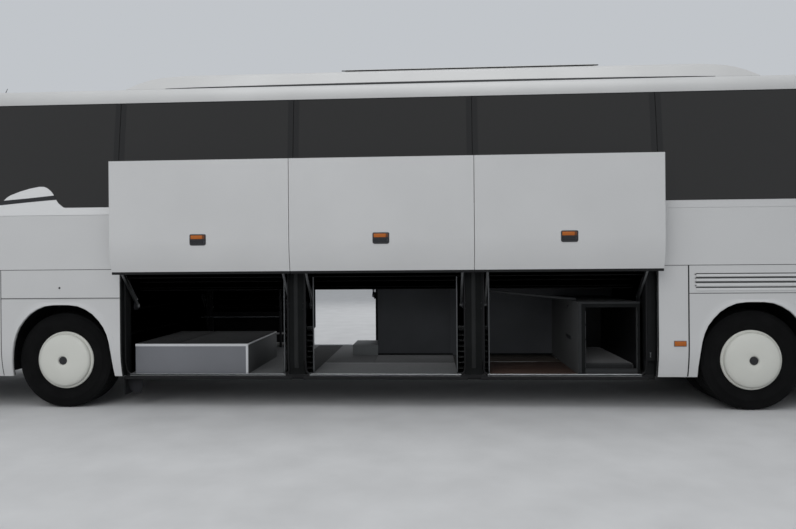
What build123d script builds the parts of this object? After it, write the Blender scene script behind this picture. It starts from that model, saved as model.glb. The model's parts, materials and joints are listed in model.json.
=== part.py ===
"""A three-axle high-deck touring coach, left-hand drive, with three parallelogram luggage flaps on its left side.

Millimetres. +X runs to the rear, +Y to the coach's right, +Z up, with the floor at Z 0.
Stations along the coach are given as distances behind the front axle and turned into X by at().
"""
from build123d import *
from math import atan2, cos, degrees, radians, sin, sqrt
import os

# Driving dimensions
LENGTH = 14050
HALF_WIDTH = 1275
FRONT_OVERHANG = 2850
WHEELBASE = 7100
TAG_SPACING = 1350
MIRROR_REACH = 120
AXLE_1 = -(LENGTH + MIRROR_REACH) / 2 + MIRROR_REACH + FRONT_OVERHANG
AXLE_2 = AXLE_1 + WHEELBASE
AXLE_3 = AXLE_2 + TAG_SPACING
FRONT = AXLE_1 - FRONT_OVERHANG
REAR = FRONT + LENGTH

# Heights of the panel lines
SKIRT_LOW = 340
BELT = 1465
RAIL_LOW = 2040
GLASS_LOW = 2117
GLASS_HIGH = 3233
ROOF_EDGE = 3425
ROOF_TOP = 3465
SCREEN_LOW = 1330

# Wall thicknesses and gaps
PANEL = 45
GLASS = 20
FRAME_DEPTH = 70
ROOF_WALL = 50
GAP = 6

# Window joints and flap joints, behind the front axle
PANE_PITCH = 1856
FIRST_JOINT = 611
FLAP_JOINTS_LEFT = (650, 2483, 4317, 6150)
FLAP_JOINTS_RIGHT = (650, 1925, 3200)
POST_HALF = 88

# Wheels
TYRE_R = 505
TYRE_WIDTH = 295
RIM_R = 286
CAP_R = 310
TRACK_Y = 1067
TWIN_OFFSET = 330
ARCH_HALF = 560
REAR_ARCH_HALF = 546
ARCH_TOP = 1095
ARCH_CORNER = 400

# Flap linkage, seen along the coach: the arm swings about a pivot inside the bay
ARM_LENGTH = 650
ARM_CLOSED = -72.0
ARM_OPEN = 47.5
PIVOT_Z = 1066
FLAP_PIN_IN = 95
PIVOT_IN = FLAP_PIN_IN + ARM_LENGTH * cos(radians(ARM_CLOSED))
PIN_R = 12
RUNNING = 0.05

# Swing doors
DOOR_ARM = 430
DOOR_ARM_CLOSED = 9.0
FRONT_DOOR = (-2050, -1150)
MID_DOOR = (3260, 4100)
DOOR_LOW = 365
FRONT_DOOR_HIGH = 2980
MID_DOOR_HIGH = 2620

CABIN_FLOOR = 1530
BAY_FLOOR = 345
BAY_FRONT = 660
BAY_REAR = 6140
KINGPIN_Y = 950


def at(station):
    """X of a station given as the distance behind the front axle."""
    return AXLE_1 + station


def block(x0, x1, y0, y1, z0, z1):
    """A box between two corners."""
    size = (x1 - x0, y1 - y0, z1 - z0)
    return Pos((x0 + x1) / 2, (y0 + y1) / 2, (z0 + z1) / 2) * Box(*size)


def mirrored(shape):
    """The same shape on the coach's other side."""
    return mirror(shape, about=Plane.XZ)


def fuse(*shapes):
    """One shape from several that touch or overlap."""
    out = shapes[0]
    for shape in shapes[1:]:
        out = out + shape
    return out


def rod_y(x, z, radius, y0, y1):
    """A round bar along Y."""
    return Pos(x, (y0 + y1) / 2, z) * Rot(90, 0, 0) * Cylinder(radius, y1 - y0)


def rod_x(y, z, radius, x0, x1):
    """A round bar along X."""
    return Pos((x0 + x1) / 2, y, z) * Rot(0, 90, 0) * Cylinder(radius, x1 - x0)


def rod_z(x, y, radius, z0, z1):
    """A round bar along Z."""
    return Pos(x, y, (z0 + z1) / 2) * Cylinder(radius, z1 - z0)


# Body envelope: cross-section, side profile and plan, each extruded and intersected


def section_face():
    """The cross-section: tucked skirt, upright belt, leaning glass, round cornice and crowned roof."""
    half = [
        ThreePointArc((1232, SKIRT_LOW), (1262, 480), (HALF_WIDTH, 660)),
        Line((HALF_WIDTH, 660), (HALF_WIDTH, BELT)),
        Line((HALF_WIDTH, BELT), (1264, GLASS_LOW)),
        ThreePointArc((1264, GLASS_LOW), (1221, 2690), (1160, GLASS_HIGH)),
        ThreePointArc((1160, GLASS_HIGH), (1103, 3366), (965, ROOF_EDGE)),
    ]
    other = [mirror(edge, about=Plane.YZ) for edge in half]
    crown = ThreePointArc((965, ROOF_EDGE), (0, ROOF_TOP), (-965, ROOF_EDGE))
    sill = Line((-1232, SKIRT_LOW), (1232, SKIRT_LOW))
    return make_face([*half, crown, *other, sill])


def side_face():
    """The side profile: upright bumper, raked screen, domed roof ends."""
    edges = [
        Line((FRONT + 70, 300), (FRONT, 560)),
        Line((FRONT, 560), (FRONT + 8, 1250)),
        ThreePointArc((FRONT + 8, 1250), (FRONT + 125, 2250), (FRONT + 370, 3090)),
        ThreePointArc((FRONT + 370, 3090), (FRONT + 560, 3360), (FRONT + 1050, 3480)),
        Line((FRONT + 1050, 3480), (REAR - 480, 3480)),
        ThreePointArc((REAR - 480, 3480), (REAR - 190, 3370), (REAR - 90, 3060)),
        Line((REAR - 90, 3060), (REAR, 1850)),
        Line((REAR, 1850), (REAR, 640)),
        Line((REAR, 640), (REAR - 60, 300)),
        Line((REAR - 60, 300), (FRONT + 70, 300)),
    ]
    return make_face(edges)


def plan_corner(x_end, bow_half, bow, sign):
    """Bowed end face and its two tangent corner arcs; sign is +1 at the front and -1 at the rear."""
    bow_r = (bow_half ** 2 + bow ** 2) / (2 * bow)
    lean = bow_half / bow_r
    rise = sqrt(1 - lean ** 2)
    corner_r = (HALF_WIDTH - bow_half) / (1 - lean)
    x_meet = x_end + sign * bow
    x_side = x_meet + sign * corner_r * rise
    mid = sqrt((1 + lean) / 2)
    mid_across = sqrt((1 - lean) / 2)
    x_mid = x_meet + sign * corner_r * (rise - mid_across)
    y_mid = bow_half + corner_r * (mid - lean)
    face = ThreePointArc((x_meet, -bow_half), (x_end, 0), (x_meet, bow_half))
    right = ThreePointArc((x_meet, bow_half), (x_mid, y_mid), (x_side, HALF_WIDTH))
    left = ThreePointArc((x_meet, -bow_half), (x_mid, -y_mid), (x_side, -HALF_WIDTH))
    return [face, right, left], x_side


def plan_face():
    """The plan: bowed front with large corners, flatter tail with smaller ones."""
    front, x_front = plan_corner(FRONT, 900, 140, 1)
    rear, x_rear = plan_corner(REAR, 1030, 70, -1)
    sides = [Line((x_front, y), (x_rear, y)) for y in (-HALF_WIDTH, HALF_WIDTH)]
    return make_face([*front, *rear, *sides])


def envelope(inset):
    """The body's outer form, or that form moved inwards."""
    faces = [section_face(), side_face(), plan_face()]
    if inset:
        faces = [offset(face, -inset) for face in faces]
    section, side, plan = faces
    along = extrude(Plane.YZ.offset(FRONT - 50) * section, LENGTH + 100)
    across = extrude(Plane.XZ.offset(-HALF_WIDTH - 50) * side, 2 * HALF_WIDTH + 100)
    up = extrude(Plane.XY.offset(200) * plan, 3500)
    return along & across & up


OUTER = envelope(0)
UNDER_GLASS = envelope(GLASS)
UNDER_PANEL = envelope(PANEL)
UNDER_FRAME = envelope(FRAME_DEPTH)
PANEL_SHELL = OUTER - UNDER_PANEL
GLASS_SHELL = OUTER - UNDER_GLASS
FRAME_SHELL = UNDER_GLASS - UNDER_FRAME


def panel(x0, x1, y0, y1, z0, z1):
    """A piece of the outer skin, of panel thickness."""
    return PANEL_SHELL & block(x0, x1, y0, y1, z0, z1)


def glass(x0, x1, y0, y1, z0, z1):
    """A piece of the outer skin, of glass thickness."""
    return GLASS_SHELL & block(x0, x1, y0, y1, z0, z1)


def both(shape):
    """The shape and its mirror image on the other side."""
    return shape + mirrored(shape)


# Wheel arches and wheel housings

def sliced(shape, stations):
    """The shape cut at some stations into solids that meet face to face."""
    edges = [-9000, *[at(s) for s in stations], 9000]
    out = []
    for x0, x1 in zip(edges[:-1], edges[1:]):
        cut = shape & block(x0, x1, -2000, 2000, 0, 4200)
        if cut:
            out.extend(cut.solids())
    return out


def arch_profile(half, top, corner, low):
    """The arch as a flat-topped opening with large round corners, about X 0."""
    lower = top - corner
    mid = corner * (1 - cos(radians(45)))
    return make_face([
        Line((-half, low), (-half, lower)),
        ThreePointArc((-half, lower), (-half + mid, top - mid), (-half + corner, top)),
        Line((-half + corner, top), (half - corner, top)),
        ThreePointArc((half - corner, top), (half - mid, top - mid), (half, lower)),
        Line((half, lower), (half, low)),
        Line((half, low), (-half, low)),
    ])


def arch_prism(axle, half, top, corner, low, y0, y1):
    """The arch profile over one axle, taken between two depths."""
    face = arch_profile(half, top, corner, low)
    return Pos(axle, 0, 0) * extrude(Plane.XZ.offset(-y0) * face, -(y1 - y0))


def arch_cutters():
    """The six openings in the skirts, reaching past both sides."""
    out = []
    for axle, half in ((AXLE_1, ARCH_HALF), (AXLE_2, REAR_ARCH_HALF), (AXLE_3, REAR_ARCH_HALF)):
        out.append(arch_prism(axle, half, ARCH_TOP, ARCH_CORNER, 200, -1400, 1400))
    return fuse(*out)


def housing(axle, half):
    """One wheel housing on the left side: a curved liner and its inner wall."""
    outer = arch_prism(axle, half + 25, ARCH_TOP + 65, ARCH_CORNER + 40, 345, -1228, -575)
    inner = arch_prism(axle, half, ARCH_TOP + 40, ARCH_CORNER + 20, 300, -1300, -500)
    liner = (outer - inner) & UNDER_PANEL
    wall = arch_prism(axle, half + 25, ARCH_TOP + 65, ARCH_CORNER + 40, 345, -575, -550)
    wall = wall - block(axle - 130, axle + 130, -1000, -500, 300, 720)
    shoulder = half + 25 - ARCH_CORNER - 40
    bend = half + 25 - 0.29 * (ARCH_CORNER + 40)
    cuts = [axle - AXLE_1 + s for s in (-bend, -shoulder, shoulder, bend)]
    return [*sliced(liner, cuts), *sliced(wall, [axle - AXLE_1 - 130, axle - AXLE_1 + 130])]


ARCHES = arch_cutters()


def wheel_housings():
    """Six liners; the front pair carries the mud flaps."""
    left = [*housing(AXLE_1, 600), *housing(AXLE_2, 575), *housing(AXLE_3, 575)]
    left.append(block(at(627), at(637), -1180, -915, 130, 600))
    left.append(block(at(8450 + 602), at(8450 + 612), -1180, -590, 150, 600))
    return left + [mirrored(s) for s in left]


# Floors and frame

def luggage_floor():
    """The load floor between the axles with its silver sill edges."""
    floor = block(at(BAY_FRONT - 20), at(BAY_REAR + 20), -1160, 1160, 300, BAY_FLOOR)
    sills = block(at(BAY_FRONT), at(BAY_REAR), -1178, -1160, 318, BAY_FLOOR + 4)
    right = block(at(BAY_FRONT), at(3200), 1160, 1178, 318, BAY_FLOOR + 4)
    return floor + sills + right


def saloon_floor():
    """The saloon floor, the low driver's platform and the steps between them."""
    top = block(at(-1300), REAR - 46, -1300, 1300, 1466, 1500) & UNDER_PANEL
    under = block(at(-1300), REAR - 400, -1200, 1200, 1440, 1466)
    well = block(at(MID_DOOR[0] - 10), at(MID_DOOR[1] + 10), 205, 1300, 1300, 1600)
    doorway = block(at(-1300) - 1, at(FRONT_DOOR[1]), 1160, 1300, 1300, 1600)
    floor = top + under - well - doorway
    platform = block(at(-2700), at(-1300), -1175, 500, 860, 900) & UNDER_FRAME
    riser = block(at(-1325), at(-1300), -1175, 1160, 900, 1440)
    stairs = [
        block(at(FRONT_DOOR[0]), at(-1325), 500, 1175, 340, 380),
        block(at(FRONT_DOOR[0]), at(-1325), 500, 930, 380, 640),
        block(at(FRONT_DOOR[0]), at(-1325), 500, 700, 640, 900),
    ]
    step = block(at(-1600), at(-1325), -250, 350, 900, 1180)
    tail = block(at(-1325), at(-1150), 500, 1160, 340, 900)
    return [*sliced(floor, [FRONT_DOOR[1], MID_DOOR[0] - 10, MID_DOOR[1] + 10]), platform, riser, *stairs, step, tail]


def chassis():
    """Longitudinal rails and cross members, front and rear, with the air springs that sit on the axles."""
    rails = []
    for x0, x1 in ((at(-2600), at(BAY_FRONT - 20)), (at(BAY_REAR + 20), REAR - 330)):
        rails.append(block(x0, x1, -490, -410, 640, 800))
        rails.append(block(x0, x1, 410, 490, 640, 800))
    for s in (-2560, -1180, 560, 6240, 7750, 9120, 10760):
        rails.append(block(at(s) - 40, at(s) + 40, -410, 410, 660, 780))
    for axle in (AXLE_1, AXLE_2, AXLE_3):
        for y in (-450, 450):
            rails.append(rod_z(axle, y, 95, 592, 640))
            rails.append(block(axle - 250, axle + 250, y - 50, y + 50, 800, 830))
    return rails


# Luggage bays

POSTS_LEFT = ((BAY_FRONT - 20, BAY_FRONT), (2395, 2570), (4229, 4419), (6062, BAY_REAR))
POSTS_RIGHT = ((BAY_FRONT - 20, BAY_FRONT), (1865, 1985), (3110, 3200))
ARMS_LEFT = ((672, 2363), (2602, 4197), (4451, 6030))
ARMS_RIGHT = ((672, 1833), (2017, 3078))
ARM_T = 22


def post(s0, s1):
    """One upright between two bays of the left side, following the tuck of the skirt."""
    upper = block(at(s0), at(s1), -1203, -1100, 500, 1440)
    lower = block(at(s0), at(s1), -1158, -1100, BAY_FLOOR, 500)
    plate = block(at(s0), at(s1), -1100, -950, PIVOT_Z - 45, PIVOT_Z + 45)
    return upper + lower + plate


def pivot_pin(s0, s1):
    """The fixed pin of one flap arm on the left side, between two stations."""
    return rod_x(-HALF_WIDTH + PIVOT_IN, PIVOT_Z, PIN_R, at(s0), at(s1))


def bay_frame():
    """Bulkheads, posts, arm pins and the rails under the ceiling."""
    front = block(at(BAY_FRONT - 20), at(BAY_FRONT), -1158, 1158, BAY_FLOOR, 1440)
    front_edges = both(block(at(BAY_FRONT - 20), at(BAY_FRONT), -1203, -1100, 500, 1440))
    rear = block(at(BAY_REAR), at(BAY_REAR + 20), -1158, 1158, BAY_FLOOR, 1440)
    rear_edges = both(block(at(BAY_REAR), at(BAY_REAR + 20), -1203, -1100, 500, 1440))
    left = [post(*pair) for pair in POSTS_LEFT[1:]]
    right = [mirrored(post(*pair)) for pair in POSTS_RIGHT[1:]]
    pins = [
        pivot_pin(BAY_FRONT - 5, 672 + ARM_T), pivot_pin(2363, 2400), pivot_pin(2565, 2602 + ARM_T),
        pivot_pin(4197, 4234), pivot_pin(4414, 4451 + ARM_T), pivot_pin(6030, 6067),
    ]
    pins_right = [
        pivot_pin(BAY_FRONT - 5, 672 + ARM_T), pivot_pin(1833, 1870), pivot_pin(1980, 2017 + ARM_T),
        pivot_pin(3078, 3115),
    ]
    frame = fuse(front, front_edges, rear, rear_edges, *left, *right, *pins, *[mirrored(p) for p in pins_right])
    return frame


def bay_fittings():
    """The raised box in the first bay, the step box in the second and the upright guard tubes."""
    raised = block(at(739), at(1951), -1150, 60, BAY_FLOOR, 665)
    step = block(at(2900), at(3217), 205, 700, BAY_FLOOR, 470)
    tubes = []
    for s in (2330, 2640, 4160, 4490):
        tubes.append(rod_z(at(s), -1080, 9, BAY_FLOOR, 1440))
    return [raised, step, *tubes]


def stair_housing():
    """The mid-door stairwell and the closet behind it, as seen from the bays."""
    x0, x1, x2 = at(3217), at(4135), at(BAY_REAR)
    walls = [
        block(x0, x0 + 25, 205, 1160, BAY_FLOOR, 1440),
        block(x0, x2, 205, 230, BAY_FLOOR, 1440),
        block(x1, x1 + 25, 205, 1160, BAY_FLOOR, 1440),
    ]
    tread = [
        (1160, 380), (930, 380), (930, 660), (680, 660), (680, 940), (430, 940), (430, 1220), (220, 1220),
        (220, 1190), (400, 1190), (400, 910), (650, 910), (650, 630), (900, 630), (900, 350), (1160, 350),
    ]
    flight = extrude(Plane.YZ.offset(x0 + 10) * make_face(Polyline(*tread, close=True)), x1 - x0)
    return fuse(*walls, flight)


def sleeping_cabin():
    """The driver's sleeping berth in the last bay, open towards the flap."""
    x0, x1 = at(5398), at(6018)
    body = block(x0, x1, -1150, 205, BAY_FLOOR, 1092)
    room = block(x0 + 28, x1 - 28, -1125, 177, BAY_FLOOR + 28, 1064)
    mouth = block(x0 + 70, x1 - 28, -1200, -1100, BAY_FLOOR + 55, 1040)
    return body - room - mouth


# Body skin

CORNER_FRONT = -2190
CORNER_REAR = 10848
SKIN_DEPTH = 1184
FRONT_DOOR_CUT = block(at(FRONT_DOOR[0]), at(FRONT_DOOR[1]), 900, 1400, 300, FRONT_DOOR_HIGH + 10)
MID_DOOR_CUT = block(at(MID_DOOR[0]), at(MID_DOOR[1]), 900, 1400, 300, MID_DOOR_HIGH + 10)


def skirt_panels():
    """The fixed lower panels on both sides, with the wheel arches cut."""
    left = [
        panel(at(CORNER_FRONT), at(650), -1400, -SKIN_DEPTH, SKIRT_LOW, BELT),
        panel(at(6150), at(CORNER_REAR), -1400, -SKIN_DEPTH, SKIRT_LOW, BELT),
    ]
    right = [
        panel(at(CORNER_FRONT), at(650), SKIN_DEPTH, 1400, SKIRT_LOW, BELT),
        panel(at(3200), at(CORNER_REAR), SKIN_DEPTH, 1400, SKIRT_LOW, BELT),
    ]
    skin = fuse(*left, *right) - ARCHES - FRONT_DOOR_CUT - MID_DOOR_CUT
    seams = both(block(at(-702), at(-698), -1290, -1267, 300, 1470))
    seams = seams + both(block(at(-700), at(655), -1290, -1267, 1156, 1160))
    seams = seams + both(block(at(6456), at(6460), -1290, -1267, 300, 1470))
    seams = seams + both(block(at(6458), at(CORNER_REAR), -1290, -1267, 1181, 1185))
    louvres = []
    for k in range(4):
        z = 1252 + 38 * k
        louvres.append(both(block(at(6517), at(7683), -1290, -1250, z, z + 14)))
    return skin - seams - fuse(*louvres)


def window_outline(sign):
    """The glazed field of one side as a prism: raised step at the driver's window on the left side."""
    if sign < 0:
        points = [
            (at(-2150), 1780), (at(-1480), 1800), (at(-1180), 2060), (at(-720), 2135), (at(-130), 2205),
            (at(-60), 2190), (at(30), 2122), (at(60), GLASS_LOW), (at(10700), GLASS_LOW),
            (at(10700), GLASS_HIGH), (at(-2150), GLASS_HIGH),
        ]
        y0, y1 = -1400, -1000
    else:
        points = [
            (at(-1110), GLASS_LOW), (at(10700), GLASS_LOW), (at(10700), GLASS_HIGH), (at(-1110), GLASS_HIGH),
        ]
        y0, y1 = 1000, 1400
    face = make_face(Polyline(*points, close=True))
    return extrude(Plane.XZ.offset(-y0) * face, -(y1 - y0))


FIELD_LEFT = window_outline(-1)
FIELD_RIGHT = window_outline(1) - block(at(3200), at(4160), 1000, 1400, 2000, MID_DOOR_HIGH + 50)


def side_panels():
    """The waist panels between the belt line and the windows, with the pillars beside the doors."""
    skin = [
        panel(at(CORNER_FRONT), at(CORNER_REAR), -1400, -1050, BELT, GLASS_HIGH),
        panel(at(CORNER_FRONT), at(CORNER_REAR), 1050, 1400, BELT, GLASS_HIGH),
    ]
    skin = fuse(*skin) - FIELD_LEFT - FIELD_RIGHT - FRONT_DOOR_CUT - MID_DOOR_CUT
    seam = both(block(at(CORNER_FRONT), at(CORNER_REAR), -1290, -1262, RAIL_LOW - 2, RAIL_LOW + 2))
    return skin - seam


def side_glass():
    """The bonded side panes, each its own solid with a thin joint to the next."""
    field = GLASS_SHELL & (FIELD_LEFT + FIELD_RIGHT)
    joints = []
    for k in range(6):
        s = FIRST_JOINT + PANE_PITCH * k
        joints.append(block(at(s) - 4, at(s) + 4, -1400, 1400, 1500, 3400))
    panes = field - fuse(*joints)
    out = []
    for pane in panes.solids():
        box = pane.bounding_box()
        crosses = box.min.Y > 0 and box.min.X < at(3200) < box.max.X
        out.extend(sliced(pane, [3200, 4160]) if crosses else [pane])
    return out


def window_frame():
    """The posts behind the pane joints and the rails that tie them above and below."""
    bars = []
    for k in range(6):
        s = FIRST_JOINT + PANE_PITCH * k
        bars.append(block(at(s) - 55, at(s) + 55, -1400, 1400, 1500, 3420))
    bars.append(block(at(-2050), at(10780), -1400, 1400, 3180, 3420))
    bars.append(block(at(-1110), at(10780), -1400, 1400, 1900, 2140))
    bars.append(block(at(-1120), at(-1060), -1400, 1400, 1500, 3420))
    bars.append(block(at(10700), at(10780), -1400, 1400, 1500, 3420))
    ring = FRAME_SHELL & fuse(*bars)
    sides = ring & (block(at(-2050), at(10780), -1400, -1000, 1500, 3300) + block(at(-2050), at(10780), 1000, 1400, 1500, 3300))
    return sides - PANEL_SHELL - FRONT_DOOR_CUT - MID_DOOR_CUT


def screens():
    """The one-piece windscreen and the rear window."""
    front = glass(FRONT - 50, at(CORNER_FRONT), -1400, 1400, SCREEN_LOW, 3090)
    rear = glass(REAR - 300, REAR + 50, -960, 960, 2117, 2960)
    return front + rear


def front_panel():
    """The nose below the windscreen with openings for the headlamps, and the brow above it."""
    nose = panel(FRONT - 50, at(CORNER_FRONT), -1400, 1400, 600, SCREEN_LOW)
    brow = panel(FRONT - 50, at(CORNER_FRONT), -1400, 1400, 3090, GLASS_HIGH)
    plate = block(FRONT - 50, FRONT + 12, -260, 260, 640, 750)
    return nose + brow - HEADLAMP_CUT - plate


HEADLAMP_CUT = both(block(FRONT - 50, at(-2500), -1150, -700, 680, 850))
TAIL_CUT = both(block(REAR - 250, REAR + 50, -1215, -1075, 900, 1450))


def lamps():
    """Headlamps at the front corners and tall tail lamps at the rear ones."""
    heads = both(panel(FRONT - 50, at(-2500) - 6, -1144, -706, 686, 844))
    tails = both(panel(REAR - 244, REAR + 50, -1209, -1081, 906, 1444))
    return heads + tails


def bumpers():
    """The front and rear bumpers with their valances."""
    front = panel(FRONT - 50, at(CORNER_FRONT), -1400, 1400, SKIRT_LOW, 600)
    rear = panel(at(CORNER_REAR), REAR + 50, -1400, 1400, SKIRT_LOW, 600)
    return front + rear


def roof():
    """The roof skin with the rounded cornices."""
    return panel(FRONT - 50, REAR + 50, -1400, 1400, GLASS_HIGH, 3600)


def rear_panel():
    """The tail above the bumper, cut for the engine lid, the rear window and the lamps."""
    skin = panel(at(CORNER_REAR), REAR + 50, -1400, 1400, 600, GLASS_HIGH)
    lid = block(REAR - 200, REAR + 50, -850, 850, LID_LOW - GAP, LID_HIGH + GAP)
    window = block(REAR - 300, REAR + 50, -960, 960, 2117, 2960)
    lugs = []
    for y in (-310, -190, 190, 310):
        strap = block(REAR - 30, HINGE_X, y - 10, y + 10, LID_HIGH + 2 * GAP, LID_HIGH + 60)
        eye = rod_y(HINGE_X, LID_HIGH + 3, 11, y - 10, y + 10) + block(HINGE_X - 11, HINGE_X + 11, y - 10, y + 10, LID_HIGH + 3, LID_HIGH + 30)
        lugs.append(strap + eye)
    shell = skin - lid - window - TAIL_CUT
    shell = fuse(shell, *lugs)
    for y in (-310, -190, 190, 310):
        shell = shell - rod_y(HINGE_X, LID_HIGH + 3, 5 + RUNNING, y - 11, y + 11)
    return shell


LID_LOW = 620
LID_HIGH = 1700


HINGE_X = REAR + 16


def engine_lid():
    """The engine lid with its two hinge barrels and pins."""
    skin = panel(REAR - 200, REAR + 50, -850 + GAP, 850 - GAP, LID_LOW, LID_HIGH)
    hinges = []
    for y in (-250, 250):
        hinges.append(rod_y(HINGE_X, LID_HIGH + 3, 9, y - 44, y + 44))
        hinges.append(rod_y(HINGE_X, LID_HIGH + 3, 5, y - 70, y + 70))
        hinges.append(block(REAR - 20, HINGE_X + 6, y - 44, y + 44, LID_HIGH - 50, LID_HIGH - 3))
    slots = []
    for k in range(10):
        z = 760 + 60 * k
        slots.append(block(REAR - 120, REAR + 50, -700, 700, z, z + 26))
    return fuse(skin - fuse(*slots), *hinges)


def roof_fairing():
    """The long raised fairing along the roof with its sloping ends and the flat unit on top."""
    half = [
        Line((905, 3380), (900, 3455)),
        Line((900, 3455), (790, 3600)),
        ThreePointArc((790, 3600), (740, 3642), (675, 3657)),
        Line((675, 3657), (0, 3672)),
        Line((0, 3672), (0, 3380)),
        Line((0, 3380), (905, 3380)),
    ]
    face = make_face(half)
    right = extrude(Plane.YZ.offset(at(508)) * face, 6872)
    body = right + mirrored(right)
    side = make_face([
        Line((at(508), 3350), (at(508), 3440)),
        ThreePointArc((at(508), 3440), (at(690), 3555), (at(960), 3620)),
        ThreePointArc((at(960), 3620), (at(1400), 3665), (at(1900), 3680)),
        Line((at(1900), 3680), (at(6100), 3680)),
        ThreePointArc((at(6100), 3680), (at(6600), 3665), (at(6960), 3620)),
        ThreePointArc((at(6960), 3620), (at(7220), 3550), (at(7380), 3440)),
        Line((at(7380), 3440), (at(7380), 3350)),
        Line((at(7380), 3350), (at(508), 3350)),
    ])
    cutter = extrude(Plane.XZ.offset(1400) * side, -2800)
    top = block(at(2920), at(5780), -520, 520, 3600, 3722)
    room = block(at(1000), at(6850), -740, 740, 3300, 3590)
    return (body & cutter) + top - room - OUTER


def mirrors():
    """The two arm-hung mirror heads ahead of the windscreen corners."""
    x = FRONT - 72
    head = block(x - 46, x + 46, -1500, -1280, 2260, 2760)
    head = fillet(head.edges(), 18)
    arm = fuse(
        rod_z(x, -1390, 22, 2740, 3120),
        rod_y(x, 3120, 22, -1390, -1060),
        rod_x(-1060, 3120, 22, x, FRONT + 480),
        Pos(x, -1390, 3120) * Sphere(22),
        Pos(x, -1060, 3120) * Sphere(22),
    )
    left = (arm - OUTER) + head
    return both(left)


def wipers():
    """The two parked wipers at the foot of the windscreen: pivot, arm and blade in one."""
    out = []
    for y0, pivot in ((-860, -880), (60, 40)):
        y1 = y0 + 820
        x = FRONT - 24
        blade = block(x - 8, x + 8, y0, y1, 1392, 1410)
        hub = rod_x(pivot, 1275, 22, x - 10, FRONT + 160)
        run = sqrt((y0 + 410 - pivot) ** 2 + 126 ** 2)
        arm = Pos(x, (pivot + y0 + 410) / 2, 1338) * Rot(degrees(atan2(126, y0 + 410 - pivot)), 0, 0) * Box(14, run, 20)
        out.append(fuse(blade, arm, hub) - OUTER)
    return out


# Inside

def dashboard():
    """The dashboard with the binnacle ahead of the driver."""
    face = make_face(Polyline(
        (at(-2620), 900), (at(-2620), 1330), (at(-2380), 1420), (at(-2150), 1380), (at(-2120), 1250), (at(-2250), 1180), (at(-2300), 900),
        close=True))
    board = extrude(Plane.XZ.offset(1150) * face, -1850)
    return board & UNDER_FRAME


STEER_X, STEER_Y, STEER_Z = at(-2080), -600, 1560
STEER_TILT = 25


def steering_wheel():
    """The steering wheel on its column stub."""
    wheel = fuse(
        Torus(215, 15), Cylinder(48, 36),
        *[Rot(0, 0, a) * (Pos(120, 0, 0) * Box(180, 30, 12)) for a in (0, 90, 180, 270)],
        Pos(0, 0, -125) * Cylinder(16, 230),
    )
    return Pos(STEER_X, STEER_Y, STEER_Z) * Rot(0, STEER_TILT, 0) * wheel


def seat_pair(s, side):
    """Two joined seats on one side at a station: cushions, backs and head rests."""
    y0, y1 = (270, 1150) if side > 0 else (-1150, -270)
    x = at(s)
    mid = (y0 + y1) / 2
    base = block(x - 180, x + 180, mid - 60, mid + 60, 1500, 1820)
    cushion = block(x - 240, x + 220, y0, y1, 1820, 1940)
    back = block(x + 220, x + 340, y0, y1, 1820, 2620)
    return [base + cushion, back]


def seats():
    """The passenger seats in pairs and the driver's seat."""
    out = []
    for k in range(13):
        s = -800 + 860 * k
        out.extend(seat_pair(s, -1))
        if not 2700 < s < 4500:
            out.extend(seat_pair(s, 1))
    x = at(-1640)
    base = block(x - 180, x + 180, -720, -480, 900, 1280)
    cushion = block(x - 250, x + 180, -850, -350, 1280, 1400)
    back = block(x + 180, x + 300, -840, -360, 1280, 2080)
    return [*out, base + cushion, back]


def engine():
    """The engine and gearbox as one block at their real place."""
    return block(at(9350), at(10650), -395, 395, 430, 1330)


# Running gear

def axles():
    """The steered front beam, the drive axle with its differential and the tag axle."""
    beam = fuse(
        block(AXLE_1 - 55, AXLE_1 + 55, -760, 760, 430, 540),
        both(block(AXLE_1 - 42, AXLE_1 + 42, -950, -740, 455, 535)),
        both(rod_z(AXLE_1, -KINGPIN_Y, 55, 445, 565)),
        both(rod_z(AXLE_1, -450, 110, 540, 592)),
    )
    beam = beam - both(rod_z(AXLE_1, -KINGPIN_Y, 25 + RUNNING, 440, 570))
    drive = fuse(
        rod_y(AXLE_2, TYRE_R, 82, -572, 572),
        rod_y(AXLE_2, TYRE_R, 45, -1112, 1112),
        Pos(AXLE_2, 0, TYRE_R) * Rot(0, 90, 0) * Cylinder(190, 330),
        both(rod_z(AXLE_2, -450, 95, TYRE_R, 592)),
        block(AXLE_2, AXLE_2 + 420, -70, 70, 460, 560),
    )
    tag = fuse(
        rod_y(AXLE_3, TYRE_R, 62, -900, 900),
        rod_y(AXLE_3, TYRE_R, 45, -1157, 1157),
        both(rod_z(AXLE_3, -450, 95, TYRE_R, 592)),
    )
    return [beam, drive, tag]


def knuckle():
    """The left steering knuckle: kingpin, yoke and wheel spindle."""
    y_plate = -TRACK_Y + 35
    return fuse(
        rod_z(AXLE_1, -KINGPIN_Y, 25, 410, 600),
        block(AXLE_1 - 42, AXLE_1 + 42, y_plate, -KINGPIN_Y + 42, 571, 600),
        block(AXLE_1 - 42, AXLE_1 + 42, y_plate, -KINGPIN_Y + 42, 410, 439),
        rod_y(AXLE_1, TYRE_R, 96, y_plate, y_plate + 22),
        rod_y(AXLE_1, TYRE_R, 45, -TRACK_Y - 88, y_plate + 5),
    )


def ring(r0, r1, y0, y1):
    """A ring about the Y axis."""
    out = rod_y(0, 0, r1, y0, y1)
    return out - rod_y(0, 0, r0, y0 - 1, y1 + 1) if r0 else out


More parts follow.
